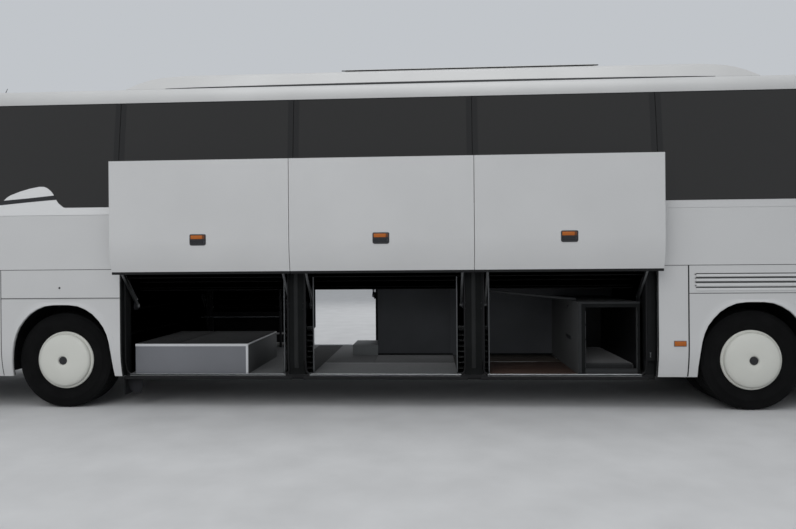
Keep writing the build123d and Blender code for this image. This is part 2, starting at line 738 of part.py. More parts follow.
def tyre():
    """A tyre about the Y axis: beads, bulged walls and flat tread with grooves left out."""
    face = make_face([
        Line((280, -108), (280, 108)),
        Line((280, 108), (310, 122)),
        ThreePointArc((310, 122), (395, 147.5), (470, 138)),
        ThreePointArc((470, 138), (495, 130), (TYRE_R, 112)),
        Line((TYRE_R, 112), (TYRE_R, -112)),
        ThreePointArc((TYRE_R, -112), (495, -130), (470, -138)),
        ThreePointArc((470, -138), (395, -147.5), (310, -122)),
        Line((310, -122), (280, -108)),
    ])
    return revolve(face, Axis.Y)


def cap(y_edge, rise):
    """The domed wheel cap on the left side, reaching outwards from y_edge."""
    face = make_face([
        Line((0, y_edge - rise + 10), (62, y_edge - rise + 10)),
        Line((62, y_edge - rise + 10), (66, y_edge - rise)),
        ThreePointArc((66, y_edge - rise), (180, y_edge - rise * 0.80), (262, y_edge - 14)),
        Line((262, y_edge - 14), (270, y_edge - 20)),
        ThreePointArc((270, y_edge - 20), (292, y_edge - 15), (302, y_edge)),
        Line((302, y_edge), (270, y_edge + 10)),
        ThreePointArc((270, y_edge + 10), (170, y_edge - rise * 0.80 + 12), (60, y_edge - rise + 22)),
        Line((60, y_edge - rise + 22), (0, y_edge - rise + 22)),
        Line((0, y_edge - rise + 22), (0, y_edge - rise + 10)),
    ])
    return revolve(face, Axis.Y)


def single_wheel():
    """A left front or tag wheel about the Y axis, outer face towards -Y."""
    rim = ring(262, 281, -118, 118) + ring(281, 304, -122, -112) + ring(281, 300, 112, 120)
    disc = ring(45 + RUNNING, 263, -78, -62) + ring(45 + RUNNING, 108, -100, 27) + ring(0, 108, -112, -100)
    bolts = ring(50, 58, -112, -92)
    return fuse(tyre(), rim, disc, cap(-122, 50))


def twin_wheels():
    """The left drive wheels as one body about the Y axis; the outer tyre is at 0."""
    outer_rim = ring(262, 281, -118, 118) + ring(281, 304, -122, -112)
    inner_rim = Pos(0, TWIN_OFFSET, 0) * (ring(262, 281, -118, 118) + ring(281, 300, 112, 120))
    disc = ring(45 + RUNNING, 263, 95, 111) + ring(45 + RUNNING, 263, TWIN_OFFSET - 117, TWIN_OFFSET - 101)
    spacer = ring(150, 200, 111, TWIN_OFFSET - 117)
    hub = ring(45 + RUNNING, 118, -40, TWIN_OFFSET - 20) + ring(0, 118, -58, -46)
    hub = hub + ring(60, 118, -46, -40)
    other = Pos(0, TWIN_OFFSET, 0) * tyre()
    return fuse(tyre(), other, outer_rim, inner_rim, disc, spacer, hub, cap(-122, 50))


# Luggage flaps and their arms

def travel():
    """How far a flap moves outwards and upwards from closed to open."""
    out = ARM_LENGTH * (cos(radians(ARM_OPEN)) - cos(radians(ARM_CLOSED)))
    up = ARM_LENGTH * (sin(radians(ARM_OPEN)) - sin(radians(ARM_CLOSED)))
    return out, up


PIN_Z_CLOSED = PIVOT_Z + ARM_LENGTH * sin(radians(ARM_CLOSED))


def flap_closed(j0, j1, arms, handle):
    """One left flap in its closed place: skin with bevelled top, frame ribs, handle recess and pin lugs."""
    skin = panel(at(j0) + 3, at(j1) - 3, -1400, -SKIN_DEPTH, SKIRT_LOW, BELT - GAP)
    skin = skin - (UNDER_GLASS & block(at(j0) + 70, at(j1) - 70, -1400, -1100, 500, 1390))
    bevel = extrude(Plane.YZ.offset(at(j0)) * make_face(Polyline(
        (-1290, BELT - GAP + 7), (-1180, BELT - GAP - 45), (-1180, BELT + 40), (-1290, BELT + 40), close=True)), j1 - j0)
    skin = skin - bevel
    h = at(handle)
    recess = block(h - 76, h + 76, -1290, -1262, 610, 715)
    rib = block(at(j0) + 60, at(j1) - 60, -1256, -1232, 760, 820)
    lever = block(h - 60, h + 60, -1270, -1255, 618, 662)
    lamp = block(h - 66, h + 66, -1275, -1255, 668, 708)
    y = -HALF_WIDTH + FLAP_PIN_IN
    lugs = []
    for s, sign in ((arms[0] + ARM_T + 5, 1), (arms[1] - 5, -1)):
        x = at(s)
        xa, xb = (x, x + 14) if sign > 0 else (x - 14, x)
        lugs.append(rod_x(y, PIN_Z_CLOSED, 22, xa, xb))
        lugs.append(block(xa, xb, -1240, y, PIN_Z_CLOSED - 22, PIN_Z_CLOSED + 22))
        lugs.append(rod_x(y, PIN_Z_CLOSED, PIN_R, xa - (ARM_T + 5) * (sign > 0), xb + (ARM_T + 5) * (sign < 0)))
    return fuse(skin - recess, rib, lever, lamp, *lugs)


def arms_at(arms, angle):
    """The two arms of one left flap at an angle above the outward horizontal."""
    y0 = -HALF_WIDTH + PIVOT_IN
    y1 = y0 - ARM_LENGTH * cos(radians(angle))
    z1 = PIVOT_Z + ARM_LENGTH * sin(radians(angle))
    out = []
    for s in arms:
        x0, x1 = at(s), at(s) + ARM_T
        bar = Pos((x0 + x1) / 2, (y0 + y1) / 2, (PIVOT_Z + z1) / 2) * Rot(-angle, 0, 0) * Box(ARM_T, ARM_LENGTH, 36)
        arm = fuse(bar, rod_x(y0, PIVOT_Z, 26, x0, x1), rod_x(y1, z1, 24, x0, x1))
        arm = arm - rod_x(y0, PIVOT_Z, PIN_R + RUNNING, x0 - 1, x1 + 1) - rod_x(y1, z1, PIN_R + RUNNING, x0 - 1, x1 + 1)
        out.append(arm)
    return out


# Doors

def door_leaf(span, high):
    """A closed door leaf on the right side with its pin brackets left to the caller."""
    s0, s1 = span
    leaf = panel(at(s0) + 10, at(s1) - 10, 1060, 1400, 386, high)
    leaf = leaf + panel(at(s0) + 10, at(s1) - 10, SKIN_DEPTH, 1400, DOOR_LOW, 386)
    window = glass(at(s0) + 100, at(s1) - 100, 1050, 1400, 1350, high - 110)
    hole = block(at(s0) + 100, at(s1) - 100, 1050, 1400, 1350, high - 110)
    return (leaf - hole) + window


COLUMN_Y = 1090


def gooseneck(x0, x1, z):
    """One swan-neck arm between the column at x0 and the leaf's pin at x1, bowed into the stairwell."""
    sign = 1 if x1 > x0 else -1
    points = [(x0, COLUMN_Y), (x0 + sign * 142, COLUMN_Y - 206), (x1, COLUMN_Y)]
    out = []
    for (xa, ya), (xb, yb) in zip(points[:-1], points[1:]):
        run = sqrt((xb - xa) ** 2 + (yb - ya) ** 2)
        bar = Pos((xa + xb) / 2, (ya + yb) / 2, z) * Rot(0, 0, degrees(atan2(yb - ya, xb - xa))) * Box(run, 28, 30)
        out.append(bar)
    for x, y in points:
        out.append(rod_z(x, y, 20, z - 15, z + 15))
    return fuse(*out)


def door_arms(x0, x1, low, high, levels):
    """The column with its two swan-neck arms, bored for the leaf's pins."""
    column = rod_z(x0, COLUMN_Y, 18, low, high)
    arms = [gooseneck(x0, x1, z) for z in levels]
    body = fuse(column, *arms)
    for z in levels:
        body = body - rod_z(x1, COLUMN_Y, 10 + RUNNING, z - 20, z + 20)
    return body


def leaf_pins(x1, levels):
    """The brackets and pins on the inside of a leaf, one pair for each arm."""
    out = []
    for z in levels:
        out.append(rod_z(x1, COLUMN_Y, 10, z - 30, z + 30))
        for za in (z - 32, z + 20):
            out.append(block(x1 - 18, x1 + 18, COLUMN_Y, 1240, za, za + 12))
            out.append(rod_z(x1, COLUMN_Y, 18, za, za + 12))
    return fuse(*out) & UNDER_GLASS


# Assembly

os.makedirs("parts", exist_ok=True)
nodes = {}


def keep(name, shape):
    """Store one node; a list of separate solids becomes a compound."""
    if isinstance(shape, (list, tuple)):
        shape = Compound(children=[s for part in shape for s in part.solids()])
    nodes[name] = shape


COLUMN_FRONT = (at(FRONT_DOOR[0] + 90), at(FRONT_DOOR[0] + 90 + DOOR_ARM))
COLUMN_MID = (at(MID_DOOR[1] - 90), at(MID_DOOR[1] - 90 - DOOR_ARM))
LEVELS_FRONT = (700, 2720)
LEVELS_MID = (720, 2440)

skins = side_panels()
roof_skin = roof()
frame = window_frame()
frame = frame - skins - roof_skin
headers = []
for span, z, x0 in ((FRONT_DOOR, FRONT_DOOR_HIGH + 10, COLUMN_FRONT[0]), (MID_DOOR, MID_DOOR_HIGH + 10, COLUMN_MID[0])):
    beam = block(at(span[0]), at(span[1]), 1050, 1400, z, z + 60) & UNDER_PANEL
    beam = beam - rod_z(x0, COLUMN_Y, 18 + RUNNING, z - 50, z + 40)
    headers.append(beam)
keep("side_panels", sliced(skins, sorted([*FRONT_DOOR, -1110, 60, 3200, *MID_DOOR, 4160, 10700])))
strips = ((-1400, -905), (-905, 905), (905, 1400))
keep("roof", [roof_skin & block(-9000, 9000, y0, y1, 3000, 3700) for y0, y1 in strips])
frame = fuse(frame, *headers)
cuts = [FIRST_JOINT + PANE_PITCH * k + d for k in range(6) for d in (-55, 55)]
keep("window_frame", sliced(frame, sorted([*cuts, FRONT_DOOR[0], FRONT_DOOR[1], -1060, *MID_DOOR, 10700])))

bore = rod_z(COLUMN_FRONT[0], COLUMN_Y, 18 + RUNNING, 350, 500)
keep("saloon_floor", [part - bore for part in saloon_floor()])
keep("luggage_floor", luggage_floor())
keep("chassis", chassis())
keep("bay_frame", bay_frame())
keep("bay_fittings", bay_fittings())
stairs = stair_housing()
stairs = stairs - rod_z(COLUMN_MID[0], COLUMN_Y, 18 + RUNNING, 350, 500)
keep("stair_housing", stairs)
keep("sleeping_cabin", sleeping_cabin())
keep("skirt_panels", skirt_panels())
keep("side_glass", side_glass())
keep("screens", screens())
keep("front_panel", front_panel())
keep("lamps", lamps())
keep("bumpers", bumpers())
keep("rear_panel", rear_panel())
keep("roof_fairing", roof_fairing())
keep("wheel_housings", wheel_housings())
keep("mirrors", mirrors())
keep("wipers", wipers())
keep("dashboard", dashboard() - Pos(STEER_X, STEER_Y, STEER_Z) * Rot(0, STEER_TILT, 0) * (Pos(0, 0, -125) * Cylinder(16 + RUNNING, 250)))
keep("steering_wheel", steering_wheel())
keep("seats", seats())
keep("engine", engine())
keep("engine_lid", engine_lid())
keep("axles", axles())
keep("knuckle_left", knuckle())
keep("knuckle_right", mirrored(knuckle()))

single = single_wheel()
twin = twin_wheels()
for name, x, wheel in (("front_wheel", AXLE_1, single), ("drive_wheels", AXLE_2, twin), ("tag_wheel", AXLE_3, single)):
    left = Pos(x, -TRACK_Y, TYRE_R) * wheel
    keep(name + "_left", left)
    keep(name + "_right", mirrored(left))

out, up = travel()
handles = (1562, 3400, 5235)
for k in range(3):
    j0, j1 = FLAP_JOINTS_LEFT[k], FLAP_JOINTS_LEFT[k + 1]
    flap = flap_closed(j0, j1, ARMS_LEFT[k], handles[k])
    keep(f"flap_left_{k + 1}", Pos(0, -out, up) * flap)
    keep(f"flap_arms_left_{k + 1}", arms_at(ARMS_LEFT[k], ARM_OPEN))
for k in range(2):
    j0, j1 = FLAP_JOINTS_RIGHT[k], FLAP_JOINTS_RIGHT[k + 1]
    flap = mirrored(flap_closed(j0, j1, ARMS_RIGHT[k], (j0 + j1) / 2))
    angle = ARM_OPEN if k else ARM_CLOSED
    keep(f"flap_right_{k + 1}", Pos(0, out * k, up * k) * flap)
    keep(f"flap_arms_right_{k + 1}", [mirrored(a) for a in arms_at(ARMS_RIGHT[k], angle)])

keep("front_door", fuse(door_leaf(FRONT_DOOR, FRONT_DOOR_HIGH), leaf_pins(COLUMN_FRONT[1], LEVELS_FRONT)))
keep("front_door_arms", door_arms(COLUMN_FRONT[0], COLUMN_FRONT[1], 350, FRONT_DOOR_HIGH + 45, LEVELS_FRONT))
keep("mid_door", fuse(door_leaf(MID_DOOR, MID_DOOR_HIGH), leaf_pins(COLUMN_MID[1], LEVELS_MID)))
keep("mid_door_arms", door_arms(COLUMN_MID[0], COLUMN_MID[1], 350, MID_DOOR_HIGH + 45, LEVELS_MID))

for name, shape in nodes.items():
    export_step(shape, f"parts/{name}.step")
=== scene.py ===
"""A three-axle touring coach with its luggage flaps raised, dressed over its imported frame.

Everything is in metres: +X to the rear, +Y to the coach's right, +Z up, floor at Z 0.
Stations along the coach are distances behind the front axle, turned into X by at().
"""
import json
import logging
import math
from dataclasses import dataclass, field
from enum import IntEnum
from typing import Iterable, Protocol, Sequence

import bmesh
import bpy
from mathutils import Matrix, Vector
from mathutils.bvhtree import BVHTree

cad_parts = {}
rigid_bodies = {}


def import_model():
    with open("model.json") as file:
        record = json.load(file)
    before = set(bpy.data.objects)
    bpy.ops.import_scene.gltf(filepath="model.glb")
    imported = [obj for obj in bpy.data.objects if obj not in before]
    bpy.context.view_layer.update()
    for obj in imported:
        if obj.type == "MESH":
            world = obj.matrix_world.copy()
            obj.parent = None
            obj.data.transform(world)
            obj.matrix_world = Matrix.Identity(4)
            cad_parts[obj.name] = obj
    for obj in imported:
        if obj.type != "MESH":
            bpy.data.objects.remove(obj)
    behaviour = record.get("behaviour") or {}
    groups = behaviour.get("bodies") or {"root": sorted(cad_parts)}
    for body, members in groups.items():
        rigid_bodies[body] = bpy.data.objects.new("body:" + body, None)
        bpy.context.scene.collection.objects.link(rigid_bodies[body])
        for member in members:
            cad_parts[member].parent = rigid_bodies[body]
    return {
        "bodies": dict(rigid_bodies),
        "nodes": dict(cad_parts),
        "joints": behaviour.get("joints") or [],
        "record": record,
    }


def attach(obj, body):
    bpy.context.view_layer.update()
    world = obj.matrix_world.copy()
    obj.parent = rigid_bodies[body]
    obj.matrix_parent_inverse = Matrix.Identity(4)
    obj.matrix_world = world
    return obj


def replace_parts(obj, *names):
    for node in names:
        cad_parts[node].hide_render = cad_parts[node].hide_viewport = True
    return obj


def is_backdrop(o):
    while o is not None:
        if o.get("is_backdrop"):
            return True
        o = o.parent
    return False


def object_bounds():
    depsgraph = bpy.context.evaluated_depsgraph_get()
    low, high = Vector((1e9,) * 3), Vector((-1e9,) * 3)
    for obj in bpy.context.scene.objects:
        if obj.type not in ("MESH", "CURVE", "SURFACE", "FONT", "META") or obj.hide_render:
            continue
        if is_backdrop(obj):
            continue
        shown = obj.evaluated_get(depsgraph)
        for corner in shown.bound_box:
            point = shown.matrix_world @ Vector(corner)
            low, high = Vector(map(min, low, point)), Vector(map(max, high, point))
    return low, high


LOG = logging.getLogger("coach")
Point = tuple[float, float, float]
Colour = tuple[float, float, float]

AXLE_1 = -4.115
AXLE_2 = AXLE_1 + 7.1
AXLE_3 = AXLE_2 + 1.35
HALF_WIDTH = 1.275
SKIRT_BEND, BELT, GLASS_LOW, GLASS_HIGH = 0.66, 1.465, 2.117, 3.233
MOUTH_HIGH, UNIT_LOW, STRIP_LOW = 1.436, 3.7105, 3.4455
TYRE_R, TRACK_Y, TWIN_OFFSET = 0.505, 1.067, 0.33
PANE_JOINTS = tuple(0.611 + 1.856 * k for k in range(6))
FLAP_JOINTS = (0.65, 2.483, 4.317, 6.15)
FLAP_JOINTS_RIGHT = (0.65, 1.925, 3.2)
FRONT_DOOR, MID_DOOR = (-2.05, -1.15), (3.26, 4.1)
OPEN_OUT, OPEN_UP = 0.2383, 1.0974
PIVOT_HALF, PIVOT_Z, ARM_REACH = HALF_WIDTH - 0.29586, 1.066, 0.65
ARM_OPEN, ARM_SHUT = 47.5, -72.0
SEAM_PROUD = 0.0012


def at(station: float) -> float:
    """X of a station given as the distance behind the front axle."""
    return AXLE_1 + station


class Side(IntEnum):
    """The two sides of the coach, by the sign of Y."""

    LEFT = -1
    RIGHT = 1

    @property
    def hand(self) -> str:
        """Its name as it ends a piece's name."""
        return self.name.lower()


BAY_ENDS = {Side.LEFT: FLAP_JOINTS[-1], Side.RIGHT: FLAP_JOINTS_RIGHT[-1]}


# Finishes


class Nodes:
    """A short hand for one material's node tree."""

    def __init__(self, name: str) -> None:
        """Start a material with an empty tree.

        Args:
            name: the material's name.
        """
        self.material = bpy.data.materials.new(name)
        self.material.use_nodes = True
        self.tree = self.material.node_tree
        self.tree.nodes.clear()
        self.output = self.add("ShaderNodeOutputMaterial")

    def add(self, kind: str, **values: object) -> bpy.types.Node:
        """Add a node and set its properties or its inputs by name.

        Args:
            kind: the node's type.
            values: property values, or input values where the name is an input's.

        Returns:
            The new node.
        """
        node = self.tree.nodes.new(kind)
        for key, value in values.items():
            name = key.replace("_", " ")
            hit = next((s for s in node.inputs if s.name.lower() == name.lower()), None)
            if hit is not None:
                hit.default_value = value
            else:
                setattr(node, key, value)
        return node

    def link(self, source: bpy.types.Node, out: int | str, target: bpy.types.Node, into: int | str) -> None:
        """Join two sockets."""
        self.tree.links.new(source.outputs[out], target.inputs[into])

    def noise(self, scale: float, detail: float = 3.0, stretch: Point = (1, 1, 1)) -> bpy.types.Node:
        """Add a noise texture in object space.

        Args:
            scale: the noise's scale.
            detail: the number of octaves.
            stretch: scale of each axis.

        Returns:
            The texture node.
        """
        place = self.add("ShaderNodeTexCoord")
        turn = self.add("ShaderNodeMapping")
        turn.inputs["Scale"].default_value = stretch
        self.link(place, "Object", turn, "Vector")
        tex = self.add("ShaderNodeTexNoise", scale=scale, detail=detail)
        self.link(turn, "Vector", tex, "Vector")
        return tex

    def ramp(self, source: bpy.types.Node, stops: Iterable[tuple[float, Colour]]) -> bpy.types.Node:
        """Map a pattern to a colour ramp through some (position, colour) stops."""
        ramp = self.add("ShaderNodeValToRGB")
        bands = ramp.color_ramp.elements
        stops = list(stops)
        while len(bands) < len(stops):
            bands.new(0.5)
        for band, (position, colour) in zip(bands, stops):
            band.position = position
            band.color = (*colour, 1)
        self.link(source, "Fac", ramp, 0)
        return ramp

    def bump(self, source: bpy.types.Node, strength: float, distance: float, shader: bpy.types.Node) -> None:
        """Roughen a shader's normal by a pattern."""
        node = self.add("ShaderNodeBump", strength=strength, distance=distance)
        self.link(source, "Fac", node, "Height")
        self.link(node, "Normal", shader, "Normal")

    def finish(self, shader: bpy.types.Node) -> bpy.types.Material:
        """Join the shader to the output and give the material back."""
        self.link(shader, 0, self.output, "Surface")
        return self.material


def shade(colour: Colour, factor: float) -> Colour:
    """The colour made lighter or darker by a factor."""
    return tuple(min(1.0, c * factor) for c in colour)


@dataclass(frozen=True)
class Finish:
    """A name and a colour from which a material is mixed."""

    name: str
    colour: Colour

    def mix(self, n: Nodes, pattern: bpy.types.Node, shares: Sequence[tuple[float, float]], relief: bpy.types.Node,
            strength: float, distance: float, **values: float) -> bpy.types.Material:
        """Mottle the colour by one pattern and roughen it by another.

        Args:
            n: the material's nodes.
            pattern: the pattern that mottles it.
            shares: positions in the pattern, each with its share of the colour.
            relief: the pattern that roughens it.
            strength: strength of the bump.
            distance: depth of the bump.
            values: the shader's inputs.

        Returns:
            The material.
        """
        tint = n.ramp(pattern, ((position, shade(self.colour, share)) for position, share in shares))
        shader = n.add("ShaderNodeBsdfPrincipled", **values)
        n.link(tint, "Color", shader, "Base Color")
        n.bump(relief, strength, distance, shader)
        return n.finish(shader)


@dataclass(frozen=True)
class Paint(Finish):
    """Sprayed paint with faint orange peel and road film, with or without a clear coat."""

    roughness: float = 0.6
    coat: float = 0.0
    film: float = 0.2
    gloss: float = 0.5

    def build(self) -> bpy.types.Material:
        """Make the material."""
        n = Nodes(self.name)
        return self.mix(n, n.noise(1.3, 5.0), ((0.3, 1 - self.film), (0.7, 1.0)), n.noise(260.0, 2.0), 0.04, 0.0004,
            roughness=self.roughness, coat_weight=self.coat, coat_roughness=0.08, specular_ior_level=self.gloss)


@dataclass(frozen=True)
class TintedGlass(Finish):
    """Very dark body-tinted glass, faintly waved."""

    roughness: float = 0.03

    def build(self) -> bpy.types.Material:
        """Make the material."""
        n = Nodes(self.name)
        shader = n.add("ShaderNodeBsdfPrincipled", base_color=(*self.colour, 1), roughness=self.roughness, ior=1.52)
        n.bump(n.noise(0.8, 1.0), 0.05, 0.01, shader)
        return n.finish(shader)


@dataclass(frozen=True)
class Rubber(Finish):
    """Rubber or dark moulded plastic, mottled by dust."""

    roughness: float = 0.5
    dust: float = 1.5
    grain: float = 150.0
    gloss: float = 0.5

    def build(self) -> bpy.types.Material:
        """Make the material."""
        n = Nodes(self.name)
        return self.mix(n, n.noise(7.0, 6.0), ((0.35, 1.0), (0.75, self.dust)), n.noise(self.grain, 4.0), 0.25, 0.002,
            roughness=self.roughness, specular_ior_level=self.gloss)


@dataclass(frozen=True)
class Metal(Finish):
    """Bare or plated metal with fine brushing along one axis."""

    roughness: float = 0.42
    stretch: Point = (2, 60, 60)

    def build(self) -> bpy.types.Material:
        """Make the material."""
        n = Nodes(self.name)
        brush = n.noise(14.0, 5.0, self.stretch)
        return self.mix(n, brush, ((0.3, 0.8), (0.7, 1.0)), brush, 0.15, 0.0006, roughness=self.roughness,
            metallic=1.0)


@dataclass(frozen=True)
class Carpet(Finish):
    """Short needle-felt carpet or woven cloth, worn in wide patches."""

    fleck: float = 1.5
    grain: float = 420.0
    sheen: float = 0.2
    gloss: float = 0.5

    def build(self) -> bpy.types.Material:
        """Make the material."""
        n = Nodes(self.name)
        fine = n.noise(self.grain, 3.0)
        tint = n.ramp(fine, ((0.35, shade(self.colour, 0.7)), (0.7, shade(self.colour, self.fleck))))
        worn = n.ramp(n.noise(3.0, 4.0), ((0.3, (0.8, 0.8, 0.8)), (0.7, (1.0, 1.0, 1.0))))
        mix = n.add("ShaderNodeMixRGB", blend_type="MULTIPLY")
        mix.inputs[0].default_value = 1.0
        n.link(tint, "Color", mix, 1)
        n.link(worn, "Color", mix, 2)
        shader = n.add("ShaderNodeBsdfPrincipled", roughness=0.92, sheen_weight=self.sheen,
            specular_ior_level=self.gloss)
        n.link(mix, "Color", shader, "Base Color")
        n.bump(fine, 0.6, 0.002, shader)
        return n.finish(shader)


@dataclass(frozen=True)
class PlyBoard(Finish):
    """Film-faced plywood with long grain and scuffs."""

    def build(self) -> bpy.types.Material:
        """Make the material."""
        n = Nodes(self.name)
        grain = n.noise(5.0, 8.0, (1.0, 14.0, 14.0))
        return self.mix(n, grain, ((0.3, 0.6), (0.55, 1.0), (0.8, 1.5)), grain, 0.2, 0.001, roughness=0.55)


@dataclass(frozen=True)
class Lens(Finish):
    """Coloured lamp plastic with moulded ribs behind a smooth face."""

    clear: float = 0.0

    def build(self) -> bpy.types.Material:
        """Make the material."""
        n = Nodes(self.name)
        wave = n.add("ShaderNodeTexWave", scale=120.0)
        n.link(n.add("ShaderNodeTexCoord"), "Object", wave, "Vector")
        return self.mix(n, wave, ((0.0, 0.7), (1.0, 1.0)), wave, 0.3, 0.001, roughness=0.2, coat_weight=0.15,
            coat_roughness=0.05, transmission_weight=self.clear, ior=1.49)


# Mesh makers


class Form:
    """A mesh in the making, to which blocks, tubes, lathed rings and sheets are added."""

    def __init__(self) -> None:
        """Start empty."""
        self.bm = bmesh.new()

    def faces(self, points: Sequence[Sequence[float]], loops: Iterable[Sequence[int]]) -> "Form":
        """Add points and the faces between them.

        Args:
            points: the corner points.
            loops: indices of each face's points.

        Returns:
            This form.
        """
        verts = [self.bm.verts.new(p) for p in points]
        for loop in loops:
            self.bm.faces.new([verts[i] for i in loop])
        return self

    def block(self, low: Point, high: Point, round_off: float = 0.004, segments: int = 2) -> "Form":
        """Add a block with rounded edges.

        Args:
            low: its lowest corner.
            high: its highest corner.
            round_off: radius of its edges.
            segments: facets of each rounding.

        Returns:
            This form.
        """
        size = Vector(high) - Vector(low)
        centre = (Vector(high) + Vector(low)) / 2
        part = bmesh.new()
        bmesh.ops.create_cube(part, size=1.0)
        bmesh.ops.scale(part, vec=size, verts=part.verts)
        radius = min(round_off, 0.45 * min(abs(v) for v in size))
        if radius > 0:
            bmesh.ops.bevel(part, geom=part.edges[:], offset=radius, segments=segments, profile=0.5, affect="EDGES",
                clamp_overlap=True)
        bmesh.ops.translate(part, vec=centre, verts=part.verts)
        return self.take(part)

    def take(self, part: bmesh.types.BMesh) -> "Form":
        """Add another mesh in the making and free it."""
        scratch = bpy.data.meshes.new("scratch")
        part.to_mesh(scratch)
        part.free()
        self.bm.from_mesh(scratch)
        bpy.data.meshes.remove(scratch)
        return self

    def prism(self, outline: Sequence[tuple[float, float]], low: float, high: float, axis: str = "y",
            round_off: float = 0.0) -> "Form":
        """Add an outline pushed along an axis.

        Args:
            outline: corner points in the two other axes, in their alphabetical order.
            low: where it starts along the axis.
            high: where it ends.
            axis: x, y or z.
            round_off: radius of all its edges.

        Returns:
            This form.
        """
        place = {"x": lambda a, b, c: (c, a, b), "y": lambda a, b, c: (a, c, b), "z": lambda a, b, c: (a, b, c)}[axis]
        part = bmesh.new()
        ends = [[part.verts.new(place(a, b, c)) for a, b in outline] for c in (low, high)]
        part.faces.new(ends[0][::-1])
        part.faces.new(ends[1])
        count = len(outline)
        for i in range(count):
            j = (i + 1) % count
            part.faces.new((ends[0][i], ends[0][j], ends[1][j], ends[1][i]))
        bmesh.ops.recalc_face_normals(part, faces=part.faces[:])
        if round_off > 0:
            bmesh.ops.bevel(part, geom=part.edges[:], offset=round_off, segments=2, profile=0.5, affect="EDGES",
                clamp_overlap=True)
        return self.take(part)

    def lathe(self, profile: Sequence[tuple[float, float]], centre: Point, axis: str = "y", steps: int = 64,
            sign: float = 1.0, closed: bool = False) -> "Form":
        """Add a profile of (radius, height) turned about an axis.

        Args:
            profile: radius and height of each ring.
            centre: the point of height zero.
            axis: the axis that it turns about.
            steps: facets around.
            sign: minus one to point the heights the other way.
            closed: whether the last ring joins the first.

        Returns:
            This form.
        """
        place = {
            "x": lambda r, h, a: (centre[0] + sign * h, centre[1] + r * math.cos(a), centre[2] + r * math.sin(a)),
            "y": lambda r, h, a: (centre[0] + r * math.cos(a), centre[1] + sign * h, centre[2] + r * math.sin(a)),
            "z": lambda r, h, a: (centre[0] + r * math.cos(a), centre[1] + r * math.sin(a), centre[2] + sign * h),
        }[axis]
        part = bmesh.new()
        rings = []
        for radius, height in profile:
            if radius < 1e-6:
                rings.append([part.verts.new(place(0.0, height, 0.0))] * steps)
            else:
                rings.append([part.verts.new(place(radius, height, 2 * math.pi * k / steps)) for k in range(steps)])
        pairs = list(zip(rings, rings[1:])) + ([(rings[-1], rings[0])] if closed else [])
        for one, two in pairs:
            for k in range(steps):
                m = (k + 1) % steps
                loop = []
                for vert in (one[k], one[m], two[m], two[k]):
                    if vert not in loop:
                        loop.append(vert)
                if len(loop) > 2:
                    part.faces.new(loop)
        bmesh.ops.recalc_face_normals(part, faces=part.faces[:])
        return self.take(part)

    def tube(self, points: Sequence[Sequence[float]], radius: float | Sequence[float], sides: int = 10,
            caps: bool = True, flat: float = 1.0) -> "Form":
        """Add a round bar along a run of points.

        Args:
            points: the run.
            radius: one radius, or one per point.
            sides: facets around.
            caps: whether its ends are closed.
            flat: how much it is flattened across its second direction.

        Returns:
            This form.
        """
        path = [Vector(p) for p in points]
        radii = list(radius) if isinstance(radius, (list, tuple)) else [radius] * len(path)
        part = bmesh.new()
        rings = []
        up = Vector((0, 0, 1)) if abs((path[1] - path[0]).normalized().z) < 0.9 else Vector((1, 0, 0))
        for i, point in enumerate(path):
            ahead = path[min(i + 1, len(path) - 1)] - path[max(i - 1, 0)]
            ahead.normalize()
            side = ahead.cross(up).normalized()
            up = side.cross(ahead).normalized()
            rings.append([part.verts.new(point + radii[i] * (math.cos(a) * side + flat * math.sin(a) * up))
                for a in (2 * math.pi * k / sides for k in range(sides))])
        for one, two in zip(rings, rings[1:]):
            for k in range(sides):
                m = (k + 1) % sides
                part.faces.new((one[k], one[m], two[m], two[k]))
        if caps:
            part.faces.new(rings[0][::-1])
            part.faces.new(rings[-1])
        bmesh.ops.recalc_face_normals(part, faces=part.faces[:])
        return self.take(part)

    def sheet(self, rows: Sequence[Sequence[Point]], thick: float = 0.0) -> "Form":
        """Add a sheet through rows of points.

        Args:
            rows: rows with the same number of points.
            thick: how far a second side lies behind it.

        Returns:
            This form.
        """
        part = bmesh.new()
        grid = [[part.verts.new(p) for p in row] for row in rows]
        for one, two in zip(grid, grid[1:]):
            for k in range(len(one) - 1):
                part.faces.new((one[k], one[k + 1], two[k + 1], two[k]))
        if thick:
            bmesh.ops.solidify(part, geom=part.faces[:], thickness=thick)
        bmesh.ops.recalc_face_normals(part, faces=part.faces[:])
        return self.take(part)

    def done(self, name: str, finish: str, body: str = "coach", smooth: float = 35.0) -> bpy.types.Object:
        """Finish the mesh as an object that rides on a body.

        Args:
            name: the object's name.
            finish: its finish.
            body: the body that it rides on.
            smooth: edges flatter than this angle are shaded smooth.

        Returns:
            The new object.
        """
        limit = math.radians(smooth)
        self.bm.normal_update()
        for face in self.bm.faces:
            face.smooth = True
        for edge in self.bm.edges:
            edge.smooth = len(edge.link_faces) == 2 and edge.calc_face_angle(0.0) < limit
        mesh = bpy.data.meshes.new(name)
        self.bm.to_mesh(mesh)
        self.bm.free()
        mesh.materials.append(Finishes.mixed[finish])
        obj = bpy.data.objects.new(name, mesh)
        bpy.context.scene.collection.objects.link(obj)
        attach(obj, body)
        LOG.info("%s: %d faces on %s", name, len(mesh.polygons), body)
        return obj


def boards(rows: Iterable[Sequence[float]], segments: int = 2) -> Form:
    """A form of blocks, each given by its span of stations, of Y and of heights, and the radius of its edges."""
    form = Form()
    for s0, s1, y0, y1, z0, z1, radius in rows:
        form.block((at(s0), y0, z0), (at(s1), y1, z1), radius, segments)
    return form


def finish_all(forms: dict[str, Form], looks: dict[str, str], start: str = "", body: str = "coach") -> None:
    """Finish forms under the same first part of a name, each with the finish given for its key."""
    for key, form in forms.items():
        form.done(start + key, looks[key], body)


